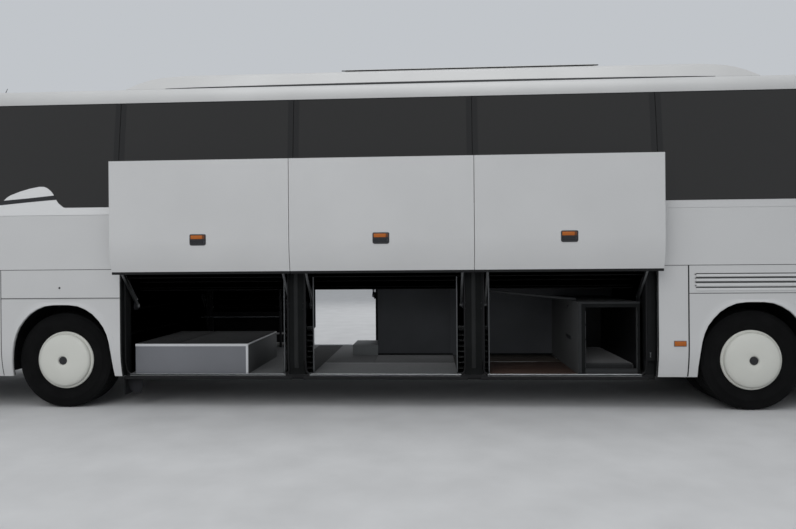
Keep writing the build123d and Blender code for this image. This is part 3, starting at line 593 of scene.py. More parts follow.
def arc(centre: tuple[float, float], radius: float, start: float, end: float,
        steps: int) -> list[tuple[float, float]]:
    """Points of an arc from a start angle to an end angle, in degrees."""
    return [(centre[0] + radius * math.cos(math.radians(a)), centre[1] + radius * math.sin(math.radians(a)))
        for a in (start + (end - start) * k / steps for k in range(steps + 1))]


def rect(a0: float, a1: float, b0: float, b1: float) -> tuple[tuple[float, float], ...]:
    """The four corners of a rectangle, in order around."""
    return ((a0, b0), (a1, b0), (a1, b1), (a0, b1))


def spread(start: float, end: float, steps: int) -> list[float]:
    """Evenly spaced values from start to end."""
    return [start + (end - start) * k / steps for k in range(steps + 1)]


def beside(side: int, inner: float, outer: float) -> tuple[float, float]:
    """A span of Y on one side of the middle, lowest first."""
    low, high = sorted((side * inner, side * outer))
    return low, high


def rounded(low: tuple[float, float], high: tuple[float, float], radius: float | Sequence[float],
        steps: int = 6) -> list[tuple[float, float]]:
    """A rectangle's outline with rounded corners.

    Args:
        low: its lowest corner.
        high: its highest corner.
        radius: one radius, or those of the corners from low-low round by high-low.
        steps: facets of each corner.

    Returns:
        The outline's points, anticlockwise.
    """
    radii = list(radius) if isinstance(radius, (list, tuple)) else [radius] * 4
    spots = ((low[0], low[1], 180, 1, 1), (high[0], low[1], 270, -1, 1), (high[0], high[1], 0, -1, -1),
        (low[0], high[1], 90, 1, -1))
    out = []
    for (x, y, start, dx, dy), r in zip(spots, radii):
        out += arc((x + dx * r, y + dy * r), r, start, start + 90, steps) if r > 1e-6 else [(x, y)]
    return out


class Finishes:
    """Every material of the coach, mixed once and handed out by name."""

    mixed: dict[str, bpy.types.Material] = {}

    @classmethod
    def mix(cls) -> None:
        """Mix them all."""
        made = (
            Paint("white_paint", (0.575, 0.574, 0.57), roughness=0.28, coat=0.35, film=0.035),
            Paint("flap_paint", (0.578, 0.577, 0.573), roughness=0.34, coat=0.35, film=0.05),
            # a lighter copy of the body white: painted highlight for the sill band and wing, which tilt up towards
            # the light
            Paint("sill_white", (0.7, 0.7, 0.695), roughness=0.28, coat=0.35, film=0.03),
            Paint("grey_paint", (0.17, 0.18, 0.19), roughness=0.5, coat=0.1),
            Paint("frame_paint", (0.012, 0.0125, 0.013), roughness=0.55, film=0.3, gloss=0.12),
            Paint("chassis_paint", (0.014, 0.015, 0.016), roughness=0.62, film=0.45, gloss=0.2),
            Paint("box_board", (0.17, 0.175, 0.19), roughness=0.5, film=0.12),
            Paint("bay_wall", (0.085, 0.088, 0.094), film=0.3, gloss=0.25),
            Paint("berth_panel", (0.088, 0.09, 0.09), film=0.25, gloss=0.2),
            # near-black; on the flap linings it is painted shade
            Paint("ceiling_paint", (0.017, 0.017, 0.0175), film=0.35, gloss=0.1),
            # a darker copy of the body white: painted shade that dims the roof, fairing and unit tops
            Paint("roof_paint", (0.505, 0.504, 0.497), roughness=0.42, coat=0.1, film=0.08),
            TintedGlass("side_tint", (0.0125, 0.0115, 0.0105)),
            TintedGlass("border_glass", (0.0036, 0.0031, 0.0028), roughness=0.05),
            # used for the real seams and louvre slots, and as the painted shadow under the roof fairing
            Paint("seam_grey", (0.05, 0.051, 0.052), film=0.3),
            Paint("roof_seam", (0.16, 0.165, 0.17), film=0.3),
            Rubber("marker_base", (0.1, 0.07, 0.05), roughness=0.4, dust=1.2, grain=200.0),
            TintedGlass("mirror_face", (0.55, 0.57, 0.6), roughness=0.02),
            Rubber("tyre_rubber", (0.0028, 0.0028, 0.0029), roughness=0.8, dust=1.9, grain=90.0, gloss=0.14),
            Rubber("seal_rubber", (0.0045, 0.0045, 0.005), grain=200.0, gloss=0.3),
            Rubber("black_plastic", (0.018, 0.018, 0.02), roughness=0.42, grain=300.0),
            Rubber("trim_black", (0.012, 0.012, 0.014), roughness=0.25, dust=1.3, grain=500.0),
            Rubber("housing_plastic", (0.009, 0.009, 0.01), roughness=0.75, dust=2.2, grain=60.0, gloss=0.2),
            Rubber("post_plastic", (0.0055, 0.006, 0.006), gloss=0.1),
            # the post covers' plastic made twice as light: a painted highlight along their raised bands
            Rubber("band_plastic", (0.011, 0.0115, 0.0115), roughness=0.4, dust=1.4, gloss=0.22),
            Rubber("reveal_plastic", (0.13, 0.135, 0.135), roughness=0.55, dust=1.3, grain=120.0, gloss=0.15),
            Paint("header_paint", (0.032, 0.032, 0.033), roughness=0.55, film=0.3, gloss=0.08),
            Paint("rail_paint", (0.026, 0.027, 0.028), roughness=0.5, gloss=0.2),
            Paint("box_flank", (0.085, 0.087, 0.088), gloss=0.2),
            Paint("step_board", (0.19, 0.2, 0.2)),
            Paint("light_trim", (0.6, 0.61, 0.62), roughness=0.4, coat=0.1, film=0.1),
            Paint("lamp_opal", (0.62, 0.62, 0.6), roughness=0.3, coat=0.2, film=0.05),
            Paint("rim_paint", (0.1, 0.1, 0.105), roughness=0.5, coat=0.1, film=0.5),
            PlyBoard("worn_board", (0.085, 0.07, 0.058)),
            Lens("amber_dark", (0.16, 0.045, 0.008)),
            Metal("arm_steel", (0.2, 0.205, 0.21)),
            Metal("aluminium", (0.72, 0.73, 0.74), roughness=0.3),
            Metal("bright_sill", (0.86, 0.87, 0.88), stretch=(3, 90, 90)),
            Metal("dark_steel", (0.1, 0.1, 0.11), roughness=0.5),
            Paint("cap_cream", (0.665, 0.665, 0.61), roughness=0.35, coat=0.25, film=0.12),
            Carpet("bay_carpet", (0.011, 0.011, 0.0115), sheen=0.08, gloss=0.25),
            Carpet("light_carpet", (0.095, 0.098, 0.1)),
            Carpet("cabin_cloth", (0.03, 0.045, 0.085), fleck=2.0, grain=260.0),
            Carpet("berth_cloth", (0.012, 0.0125, 0.013), grain=260.0),
            Carpet("head_cloth", (0.1, 0.03, 0.03), fleck=1.8, grain=300.0),
            PlyBoard("floor_board", (0.075, 0.046, 0.036)),
            Lens("amber_lens", (0.5, 0.125, 0.004)),
            Lens("red_lens", (0.45, 0.012, 0.01), clear=0.25),
            Lens("clear_lens", (0.55, 0.58, 0.6), clear=0.6),
        )
        cls.mixed = {finish.name: finish.build() for finish in made}


# Wheels


@dataclass
class RoadWheel:
    """A tyre on its rim behind a domed cap, single or as a twin pair."""

    body: str = "front_wheel_left"
    axle: float = AXLE_1
    side: Side = Side.LEFT
    twin: bool = False
    radius: float = TYRE_R
    grooves: tuple[float, ...] = (-0.072, -0.025, 0.025, 0.072)
    blocks: int = 60
    tyre_profile: tuple[tuple[float, float], ...] = ((0.281, -0.104), (0.29, -0.116), (0.306, -0.1235),
        (0.312, -0.1225), (0.322, -0.1285), (0.331, -0.13), (0.334, -0.133), (0.34, -0.133), (0.343, -0.1345),
        (0.372, -0.1425), (0.398, -0.1465), (0.402, -0.1475), (0.408, -0.1475), (0.412, -0.1455), (0.44, -0.142),
        (0.462, -0.1385), (0.47, -0.1375), (0.474, -0.1345), (0.486, -0.1325), (0.495, -0.129), (0.5005, -0.122))

    def place(self, y: float) -> Point:
        """A point on the wheel's axis at a distance from its track centre, outwards negative."""
        return (self.axle, self.side * (TRACK_Y - y), self.radius)

    def tyre(self, shift: float) -> Form:
        """Build one tyre with ribbed walls, tread grooves and shoulder blocks.

        Args:
            shift: how far inboard of the track centre it sits.

        Returns:
            The tyre's form.
        """
        half = [(r, y, 0.0, 0) for r, y in self.tyre_profile]
        half += [(0.5025, -0.118, 0.01, 1), (0.505, -0.108, 0.009, 1), (0.505, -0.094, 0.009, 1),
            (0.505, -0.08, 0.009, 2)]
        middle: list[tuple[float, float, float, int]] = []
        for g in self.grooves:
            middle += [(0.505, g - 0.0065, 0.0, 0), (0.49, g - 0.004, 0.0, 0), (0.49, g + 0.004, 0.0, 0),
                (0.505, g + 0.0065, 0.0, 0)]
            middle.append((0.505, g + 0.0235, 0.004, 2))
        middle.pop()
        profile = half[:-1] + middle + [(r, -y, d, w) for r, y, d, w in half[-2::-1]]
        steps = self.blocks * 3
        centre = Vector(self.place(0.0))
        out = -self.side
        part = bmesh.new()
        rings = []
        for r, y, depth, wave in profile:
            ring = []
            for k in range(steps):
                dip = depth if wave and (k + (y > 0)) % 3 == 0 else 0.0
                a = 2 * math.pi * k / steps
                ring.append(part.verts.new(centre + Vector(((r - dip) * math.cos(a), out * (y + shift),
                    (r - dip) * math.sin(a)))))
            rings.append(ring)
        for one, two in zip(rings, rings[1:]):
            for k in range(steps):
                m = (k + 1) % steps
                part.faces.new((one[k], one[m], two[m], two[k]))
        bmesh.ops.recalc_face_normals(part, faces=part.faces[:])
        return Form().take(part)

    def rim(self, shift: float, outer: bool, inner: bool) -> Form:
        """Build one rim's barrel and the flanges that show.

        Args:
            shift: how far inboard of the track centre it sits.
            outer: whether it has the flange on its outer side.
            inner: whether it has the flange on its inner side.

        Returns:
            The rim's form.
        """
        profile = [(0.262, -0.112), (0.281, -0.112), (0.283, -0.104), (0.2815, 0.104), (0.281, 0.112), (0.262, 0.112),
            (0.258, 0.03), (0.262, -0.06)]
        form = Form().lathe(profile, self.place(shift), "y", 72, -self.side, True)
        for wanted, y in ((outer, -0.117), (inner, 0.117)):
            if wanted:
                lip = [(0.262, y - 0.005), (0.297, y - 0.004), (0.301, y), (0.299, y + 0.003), (0.262, y + 0.005)]
                form.lathe(lip, self.place(shift), "y", 72, -self.side, True)
        return form

    def disc(self, shift: float, y: float) -> Form:
        """Build the rim's dished disc and its ten nuts.

        Args:
            shift: how far inboard of the track centre it sits.
            y: where its plate lies.

        Returns:
            The disc's form.
        """
        profile = [(0.05, y), (0.165, y), (0.19, y + 0.012), (0.262, y + 0.02), (0.262, y + 0.032),
            (0.188, y + 0.026), (0.16, y + 0.016), (0.05, y + 0.016)]
        form = Form().lathe(profile, self.place(shift), "y", 60, -self.side, True)
        for k in range(10):
            a = 2 * math.pi * k / 10
            x, _, z = self.place(shift)
            at_y = self.place(shift + y - 0.01)[1]
            form.lathe([(0.0, -0.012), (0.015, -0.012), (0.017, -0.004), (0.017, 0.012)],
                (x + 0.1375 * math.cos(a), at_y, z + 0.1375 * math.sin(a)), "y", 6, -self.side)
        return form

    def cap(self) -> tuple[Form, Form]:
        """Build the domed cap and the dark plug at its centre."""
        profile = [(0.03, -0.176), (0.04, -0.1775), (0.046, -0.18), (0.05, -0.19), (0.056, -0.192), (0.11, -0.191),
            (0.165, -0.188), (0.205, -0.1835), (0.235, -0.1775), (0.256, -0.1705), (0.269, -0.163), (0.2765, -0.153),
            (0.2795, -0.141), (0.2805, -0.134), (0.283, -0.132), (0.285, -0.135), (0.291, -0.1355), (0.2985, -0.131),
            (0.3025, -0.1235), (0.3025, -0.116), (0.26, -0.116), (0.256, -0.156), (0.16, -0.174), (0.03, -0.174)]
        cap = Form().lathe(profile, self.place(0.0), "y", 96, -self.side, True)
        plug = Form().lathe([(0.0, -0.1875), (0.034, -0.187), (0.0405, -0.185), (0.042, -0.181), (0.042, -0.165),
            (0.0, -0.165)], self.place(0.0), "y", 32, -self.side)
        x, y, z = self.place(-0.1878)
        for k in range(-3, 4):
            reach = math.sqrt(max(0.0, 0.033 ** 2 - (0.01 * k) ** 2))
            plug.block((x - reach, y - 0.0012, z + 0.01 * k - 0.0016), (x + reach, y + 0.0012, z + 0.01 * k + 0.0016),
                0.0005, 1)
            plug.block((x + 0.01 * k - 0.0016, y - 0.0012, z - reach), (x + 0.01 * k + 0.0016, y + 0.0012, z + reach),
                0.0005, 1)
        return cap, plug

    def build(self) -> None:
        """Build the wheel and let it stand for its node."""
        forms = [("tyre", self.tyre(0.0), "tyre_rubber", 28.0)]
        if self.twin:
            inboard = TWIN_OFFSET
            forms += [("inner_tyre", self.tyre(inboard), "tyre_rubber", 28.0),
                ("rim", self.rim(0.0, True, False), "rim_paint", 35.0),
                ("inner_rim", self.rim(inboard, False, True), "rim_paint", 35.0),
                ("disc", self.disc(0.0, 0.08), "rim_paint", 35.0), ("inner_disc", self.disc(inboard, -0.115),
                "rim_paint", 35.0)]
            hub = ((0.0, -0.058), (0.1, -0.058), (0.112, -0.05), (0.118, -0.02), (0.118, 0.15), (0.15, 0.16),
                (0.15, 0.2), (0.118, 0.215), (0.1, inboard - 0.02), (0.0, inboard - 0.02))
        else:
            forms += [("rim", self.rim(0.0, True, True), "rim_paint", 35.0),
                ("disc", self.disc(0.0, -0.078), "rim_paint", 35.0)]
            hub = ((0.0, -0.112), (0.085, -0.112), (0.1, -0.104), (0.108, -0.09), (0.108, 0.027), (0.05, 0.027))
        cap, plug = self.cap()
        forms += [("hub", Form().lathe(hub, self.place(0.0), "y", 40, -self.side), "chassis_paint", 35.0),
            ("cap", cap, "cap_cream", 32.0), ("plug", plug, "black_plastic", 35.0)]
        for part, form, finish, smooth in forms:
            piece = form.done(f"{self.body}.{part}", finish, self.body, smooth)
            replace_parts(piece, self.body)


class Wheels:
    """The six road wheels."""

    def build(self) -> None:
        """Build them on both sides."""
        for side in Side:
            hand = side.hand
            RoadWheel(f"front_wheel_{hand}", AXLE_1, side).build()
            RoadWheel(f"drive_wheels_{hand}", AXLE_2, side, True).build()
            RoadWheel(f"tag_wheel_{hand}", AXLE_3, side).build()


# Luggage flaps


def bend(low: tuple[float, float], middle: tuple[float, float], high: tuple[float, float], z: float) -> float:
    """The half width at a height, on the curve through three points of (half width, height)."""
    total = 0.0
    points = (low, middle, high)
    for i, (y, own) in enumerate(points):
        share = y
        for j, (_, other) in enumerate(points):
            if i != j:
                share *= (z - other) / (own - other)
        total += share
    return total


def skin_y(z: float) -> float:
    """Half width of the body's outer skin at a height between the skirt and the cornice."""
    if z < SKIRT_BEND:
        return bend((1.232, 0.34), (1.262, 0.48), (HALF_WIDTH, SKIRT_BEND), z)
    if z < BELT:
        return HALF_WIDTH
    if z < GLASS_LOW:
        return HALF_WIDTH - 0.011 * (z - BELT) / (GLASS_LOW - BELT)
    return bend((1.264, GLASS_LOW), (1.221, 2.69), (1.16, GLASS_HIGH), z)


@dataclass
class Flap:
    """The rubber, handle and lining of one luggage flap and the gas struts on its arms."""

    name: str
    start: float
    end: float
    handle: float
    arms: tuple[float, float]
    side: Side = Side.LEFT
    opened: bool = True
    cup: tuple[float, float, float] = (0.083, 0.602, 0.713)
    strut_from: float = 0.07
    strut_to: float = 0.56

    def point(self, station: float, half: float, z: float) -> Point:
        """A point given for the closed left flap, moved to where this flap stands."""
        out, up = (OPEN_OUT, OPEN_UP) if self.opened else (0.0, 0.0)
        return (at(station), self.side * (half + out), z + up)

    def block(self, form: Form, s: tuple[float, float], y: tuple[float, float], z: tuple[float, float],
            round_off: float = 0.003, segments: int = 2) -> None:
        """Add a block given by stations, half widths and closed heights."""
        one, two = self.point(s[0], y[0], z[0]), self.point(s[1], y[1], z[1])
        low = tuple(min(a, b) for a, b in zip(one, two))
        high = tuple(max(a, b) for a, b in zip(one, two))
        form.block(low, high, round_off, segments)

    def handle_cup(self) -> None:
        """Build the black handle housing, its paddle and the amber lamp above it."""
        half, low, high = self.cup
        h = self.handle
        frame = Form()
        ring = rounded((h - half, low), (h + half, high), (0.022, 0.022, 0.012, 0.012))
        hole = rounded((h - half + 0.009, low + 0.009), (h + half - 0.009, low + 0.052), (0.015, 0.015, 0.004, 0.004))
        rows = []
        for outline, depth in ((ring, -0.004), (ring, 0.0018), (
                [(h + (s - h) * 0.97, 0.5 * (low + high) + (z - 0.5 * (low + high)) * 0.965) for s, z in ring],
                0.0035)):
            rows.append([self.point(s, HALF_WIDTH + depth, z) for s, z in outline + outline[:1]])
        rows.append([self.point(s, HALF_WIDTH + 0.003, z) for s, z in hole + hole[:1]])
        rows.append([self.point(s, HALF_WIDTH - 0.001, z) for s, z in hole + hole[:1]])
        frame.sheet(rows)
        back = [self.point(s, HALF_WIDTH - 0.001, z) for s, z in hole]
        frame.faces(back, [list(range(len(back)))])
        paddle = Form()
        self.block(paddle, (h - half + 0.016, h + half - 0.03), (1.2735, 1.2765), (low + 0.02, low + 0.05), 0.0012)
        self.block(paddle, (h - half + 0.016, h + half - 0.03), (1.276, 1.2785), (low + 0.042, low + 0.051), 0.001)
        lock = Form().lathe([(0.0, 0.003), (0.0075, 0.003), (0.0085, 0.002), (0.0085, -0.002)],
            self.point(h + half - 0.019, 1.2755, low + 0.034), "y", 20, self.side)
        lamp = Form()
        self.block(lamp, (h - half + 0.012, h + half - 0.034), (1.275, 1.2835), (high - 0.047, high - 0.01), 0.004, 3)
        reflex = Form()
        self.block(reflex, (h + half - 0.033, h + half - 0.012), (1.275, 1.2815), (high - 0.047, high - 0.01), 0.003,
            3)
        finish_all({"handle_frame": frame, "handle_paddle": paddle, "lock": lock, "side_lamp": lamp,
            "side_reflex": reflex}, {"handle_frame": "black_plastic", "handle_paddle": "trim_black",
            "lock": "dark_steel", "side_lamp": "amber_lens", "side_reflex": "amber_dark"}, f"{self.name}.", self.name)

    def seals(self) -> None:
        """Build the hollow rubber seals along the flap's lower edge and up its ends."""
        s0, s1 = self.start + 0.003, self.end - 0.003
        form = Form()
        self.block(form, (s0, s1), (1.196, 1.231), (0.3135, 0.3415), 0.005, 3)
        form.tube([self.point(s0 + 0.02, 1.2215, 0.352), self.point(s1 - 0.02, 1.2215, 0.352)], 0.007, 8)
        for s in (s0 + 0.03, s1 - 0.03):
            run = [self.point(s, skin_y(z) - 0.0475, z) for z in (0.42, 0.48, 0.54, 0.6, 0.66, 0.9, 1.2, 1.41)]
            form.tube(run, 0.0055, 8)
        form.done(f"{self.name}.seals", "seal_rubber", self.name)

    def lining(self) -> None:
        """Build the pressed inner sheet with its stiffening beads, and the pull strap; the sheet and its edge strips
        are near-black, painted shade inside the flap.
        """
        s0, s1 = self.start + 0.075, self.end - 0.075
        heights = [0.52, 0.56, 0.6, 0.75]
        for z in (0.9, 1.02, 1.14, 1.26):
            heights += [z - 0.024, z - 0.012, z + 0.012, z + 0.024]
        heights += [1.37]
        rows = []
        for k, z in enumerate(heights):
            bead = 0.008 if 4 <= k < len(heights) - 1 and (k - 4) % 4 in (1, 2) else 0.0
            inset = 0.1 if bead else 0.0
            depth = skin_y(z) - 0.023
            rows.append([self.point(s, depth - (bead if i in (2, 3, 4) else 0.0), z)
                for i, s in enumerate((s0 - 0.0045, s0 + 0.08, s0 + 0.08 + inset, 0.5 * (s0 + s1), s1 - 0.08 - inset,
                s1 - 0.08, s1 + 0.0045))])
        form = Form().sheet(rows, 0.0012)
        form.sheet([[self.point(s, half, z) for s in (s0 - 0.004, s1 + 0.004)]
            for half, z in ((1.2525, 0.758), (1.2312, 0.7585), (1.2312, 0.8215), (1.2525, 0.822))])
        # Dark strips over the flap's white inner frame: painted shade.
        for x0, x1, zs in ((s0 - 0.068, s0 + 0.002, heights[:1] + heights[3:]),
                (s1 - 0.002, s1 + 0.068, heights[:1] + heights[3:]),
                (s0 - 0.068, s1 + 0.068, (0.375, 0.41, 0.45, 0.499)), (s0 - 0.068, s1 + 0.068, (1.391, 1.405))):
            form.sheet([[self.point(s, skin_y(z) - 0.0465, z) for s in (x0, x1)] for z in zs])
        form.done(f"{self.name}.lining", "ceiling_paint", self.name)
        middle = 0.5 * (s0 + s1)
        strap = [self.point(middle + dx, y, z) for dx, y, z in ((0.0, 1.228, 0.545), (0.0, 1.205, 0.5),
            (0.012, 1.198, 0.47), (0.024, 1.205, 0.5), (0.024, 1.228, 0.545))]
        Form().tube(strap, 0.01, 8, True, 0.25).done(f"{self.name}.pull_strap", "seal_rubber", self.name)
        bolts = Form()
        for s in (s0 - 0.03, s1 + 0.03):
            for z in (0.5, 0.75, 1.05, 1.35):
                bolts.lathe([(0.0, -0.004), (0.007, -0.004), (0.008, 0.001)], self.point(s, skin_y(z) - 0.0455, z),
                    "y", 6, self.side)
        bolts.done(f"{self.name}.bolts", "dark_steel", self.name)

    def struts(self) -> None:
        """Build the gas strut that lies along each arm, with its end brackets."""
        angle = math.radians(ARM_OPEN if self.opened else ARM_SHUT)
        along = Vector((0.0, self.side * math.cos(angle), math.sin(angle)))
        over = Vector((0.0, -self.side * math.sin(angle), math.cos(angle)))
        body = "flap_arms_" + self.name.removeprefix("flap_")
        pivot_y = self.side * PIVOT_HALF
        barrel, rods = Form(), Form()
        for s in self.arms:
            pin = Vector((at(s + 0.011), pivot_y, PIVOT_Z))
            root = pin + 0.031 * over
            one, mid, two = (root + along * d for d in (self.strut_from, 0.34, self.strut_to))
            barrel.tube([one, one + 0.01 * along, mid - 0.012 * along, mid], [0.008, 0.0115, 0.0115, 0.008], 16)
            rods.tube([mid, two], 0.0055, 12)
            for spot in (one, two):
                foot = spot - 0.02 * over
                rods.block(tuple(foot - Vector((0.009, 0.012, 0.012))), tuple(foot + Vector((0.009, 0.012, 0.012))),
                    0.003)
                rods.tube([spot - Vector((0.012, 0, 0)), spot + Vector((0.012, 0, 0))], 0.008, 10)
            for spot in (pin, pin + ARM_REACH * along):
                rods.tube([spot - Vector((0.0145, 0, 0)), spot + Vector((0.0145, 0, 0))], 0.0155, 6)
        barrel.done(body + ".strut_barrels", "arm_steel", body)
        rods.done(body + ".strut_rods", "aluminium", body)

    def build(self) -> None:
        """Build all that belongs to this flap."""
        self.handle_cup()
        self.seals()
        self.lining()
        self.struts()


@dataclass
class Flaps:
    """The three flaps of the left side and the two of the right."""

    handles: tuple[float, ...] = (1.562, 3.4, 5.235)
    arms_left: tuple[tuple[float, float], ...] = ((0.672, 2.363), (2.602, 4.197), (4.451, 6.03))
    arms_right: tuple[tuple[float, float], ...] = ((0.672, 1.833), (2.017, 3.078))

    def build(self) -> None:
        """Build every flap."""
        for k in range(3):
            Flap(f"flap_left_{k + 1}", FLAP_JOINTS[k], FLAP_JOINTS[k + 1], self.handles[k], self.arms_left[k]).build()
        for k in range(2):
            j0, j1 = FLAP_JOINTS_RIGHT[k], FLAP_JOINTS_RIGHT[k + 1]
            Flap(f"flap_right_{k + 1}", j0, j1, 0.5 * (j0 + j1), self.arms_right[k], Side.RIGHT, bool(k)).build()


# Luggage bays


def curb(z: float) -> float:
    """Half width of the bay surround at a height, just inside the closed flaps."""
    return min(1.2065, 1.169 + 0.0375 * max(0.0, z - 0.388) / 0.115)


@dataclass
class Surround:
    """The rubber surround, bright sill, posts and ribbed reveals of the luggage bays on one side."""

    side: Side
    mouths: tuple[tuple[float, float], ...]
    posts: tuple[tuple[float, float], ...]
    tubes: tuple[float, ...]
    jambs: tuple[tuple[float, float], ...] = ()
    corner: float = 0.055

    def p(self, s: float, half: float, z: float) -> Point:
        """A point by station, half width and height on this side."""
        return (at(s), self.side * half, z)

    def rubber(self) -> None:
        """Build the rubber surround of each mouth with its rounded lower corners."""
        form = Form()
        for s0, s1 in self.mouths:
            r = self.corner
            for side, turn in ((s0, (180, 270)), (s1, (360, 270))):
                run = [(side, z) for z in (1.43, 1.2, 1.0, 0.8, 0.6, 0.503, 0.46, 0.43)]
                run += arc((side + math.copysign(r, s0 + s1 - 2 * side), 0.354 + r), r, *turn, 6)
                form.tube([self.p(s, curb(z) - 0.001, z) for s, z in run], 0.0095, 10)
                form.tube([self.p(s, curb(z) - 0.012, z) for s, z in run], 0.006, 8)
        form.done(f"bay_rubber_{self.side.hand}", "seal_rubber")

    def sill(self) -> None:
        """Build the bright tread strip on the edge of the load floor and the dark strip beneath it."""
        bright, dark = Form(), Form()
        for s0, s1 in self.mouths:
            low, high = s0 + self.corner * 0.7, s1 - self.corner * 0.7
            self.sweep(bright, spread(low, high, 8), ((1.176, 0.332), (1.1805, 0.341), (1.1805, 0.352),
                (1.176, 0.3575), (1.168, 0.359), (1.15, 0.355), (1.128, 0.353), (1.124, 0.3495)), 0.001)
            for s in (low + 0.06 + 0.24 * k for k in range(int((high - low) / 0.24))):
                bright.lathe([(0.0, 0.0025), (0.004, 0.002), (0.006, 0.0)], self.p(s, 1.14, 0.3536), "z", 10)
            ends = self.p(s0 - 0.03, 1.15, 0.296), self.p(s1 + 0.03, 1.18, 0.333)
            dark.block(tuple(map(min, *ends)), tuple(map(max, *ends)), 0.006)
        bright.done(f"bay_sill_{self.side.hand}", "bright_sill")
        dark.done(f"bay_sill_foot_{self.side.hand}", "seal_rubber")

    def covers(self) -> None:
        """Build the moulded post covers with their raised centre bands, and the ribbed reveals beside them."""
        heights = (0.332, 0.36, 0.388, 0.42, 0.46, 0.503, 0.7, 0.95, 1.2, 1.432)
        cover, band, reveal, cheek = Form(), Form(), Form(), Form()
        for s, turn in ((FLAP_JOINTS[0], 1), (BAY_ENDS[self.side], -1)):
            for proud in (0.0003, 0.001):
                cheek.sheet([[self.p(s + turn * proud, skin_y(z) - inset, z)
                    for z in (0.342, *heights[1:6], SKIRT_BEND, 1.05, MOUTH_HIGH)] for inset in (0.06, 0.0003)])
        bow = [(0.0225 * math.cos(a), 0.009 * math.sin(a)) for a in (math.pi * k / 8 for k in range(9))]
        for s0, s1 in self.posts:
            middle, wide = 0.5 * (s0 + s1), 0.5 * (s1 - s0)
            half = ((-wide, -0.055), (-wide + 0.006, -0.006), (-wide + 0.02, -0.0005), (-0.03, 0.001),
                (-0.024, 0.004))
            shape = [*half, *((-ds, dy) for ds, dy in half[::-1])]
            cover.sheet([[self.p(middle + ds, curb(z) + dy, z) for ds, dy in shape] for z in heights])
            band.sheet([[self.p(middle + ds, curb(z) + 0.003 + dy, z) for ds, dy in bow] for z in heights[3:]])
            for ds in (-wide + 0.014, wide - 0.014):
                for dz in (0.03, -0.03):
                    band.lathe([(0.0, 0.006), (0.006, 0.006), (0.007, 0.0)],
                        self.p(middle + ds, curb(PIVOT_Z), PIVOT_Z + dz), "y", 6, self.side)
        ribs = [(1.04 + dy, 0.352 + 0.058 * k + dz) for k in range(8)
            for dz, dy in ((0.0, 0.0), (0.04, 0.0), (0.044, -0.004), (0.052, -0.004), (0.056, 0.0))]
        for s0, s1 in self.reveals():
            self.sweep(reveal, (s0, 0.5 * (s0 + s1), s1), (*ribs, (0.935, 0.822), (0.932, 0.832), (0.932, 1.432)),
                0.003)
        cover.done(f"post_covers_{self.side.hand}", "post_plastic", smooth=25.0)
        cheek.done(f"bay_cheeks_{self.side.hand}", "post_plastic")
        # The raised bands have real relief, and they also wear a lighter plastic than the covers, a painted
        # highlight.
        band.done(f"post_bands_{self.side.hand}", "band_plastic")
        if self.reveals():
            reveal.done(f"post_reveals_{self.side.hand}", "reveal_plastic")

    def reveals(self) -> list[tuple[float, float]]:
        """The stations between each post and the guard tube beside it."""
        out = []
        for s0, s1 in self.posts:
            out += [(t + 0.004, s0 + 0.05) for t in self.tubes if 0 < s0 - t < 0.12]
            out += [(s1 - 0.06, t - 0.004) for t in self.tubes if 0 < t - s1 < 0.12]
        return out + list(self.jambs)

    def brackets(self, arms: Sequence[tuple[float, float]]) -> None:
        """Build the bracket beside each arm's pivot, with its bolts.

        Args:
            arms: stations of each bay's two arms.
        """
        form = Form()
        plate = ((0.935, 1.02), (1.015, 1.02), (1.03, 1.035), (1.03, 1.095), (1.015, 1.112), (0.96, 1.112),
            (0.935, 1.095))
        for front, rear in arms:
            for s0, s1, face, turn in ((front - 0.01, front - 0.003, front - 0.003, 1.0),
                    (rear + 0.025, rear + 0.032, rear + 0.025, -1.0)):
                form.prism([(self.side * y, z) for y, z in plate], at(s0), at(s1), "x", 0.0015)
                for y, z in ((0.955, 1.04), (0.955, 1.095), (1.012, 1.04), (1.012, 1.095)):
                    form.lathe([(0.0, 0.006), (0.007, 0.006), (0.008, 0.0)], (at(face), self.side * y, z), "x", 6,
                        turn)
        form.done(f"arm_brackets_{self.side.hand}", "dark_steel")

    def sweep(self, form: Form, stations: Sequence[float], profile: Sequence[tuple[float, float]],
            thick: float = 0.0) -> None:
        """Add a sheet that runs along some stations with a profile of (half width, height)."""
        form.sheet([[self.p(s, half, z) for s in stations] for half, z in profile], thick)

    def headers(self) -> None:
        """Build the header rail above each mouth with its row of slots."""
        rail, gutter = Form(), Form()
        for s0, s1 in self.mouths:
            low, high = s0 + 0.004, s1 - 0.004
            count = int((high - low) / 0.13)
            pitch = (high - low) / count
            for k in range(count):
                a, b = low + k * pitch, low + (k + 1) * pitch
                for start, end, foot, top in ((a, a + 0.03, 1.375, MOUTH_HIGH), (a + 0.03, b, 1.375, 1.398),
                        (a + 0.03, b, 1.42, MOUTH_HIGH)):
                    self.sweep(rail, (start, end), ((1.165, foot), (1.165, top)), 0.003)
            self.sweep(rail, (low, high), ((1.165, 1.375), (1.158, 1.368), (1.06, 1.366), (1.052, 1.372),
                (1.05, 1.392)), 0.002)
            gutter.tube([self.p(low, 1.185, 1.4325), self.p(high, 1.185, 1.4325)], 0.0065, 8)
            self.sweep(rail, (s0 + 0.06, s1 - 0.06), ((0.99, 1.432), (0.99, 1.335), (0.995, 1.331), (0.995, 1.323),
                (0.99, 1.319), (0.99, 1.262), (0.997, 1.256), (0.997, 1.236), (0.985, 1.229), (0.965, 1.229),
                (0.96, 1.238)), 0.002)
        rail.done(f"bay_headers_{self.side.hand}", "header_paint")
        gutter.done(f"bay_gutters_{self.side.hand}", "seal_rubber")

    def build(self, arms: Sequence[tuple[float, float]]) -> None:
        """Build the whole surround of this side."""
        self.rubber()
        self.sill()
        self.covers()
        self.brackets(arms)
        self.headers()


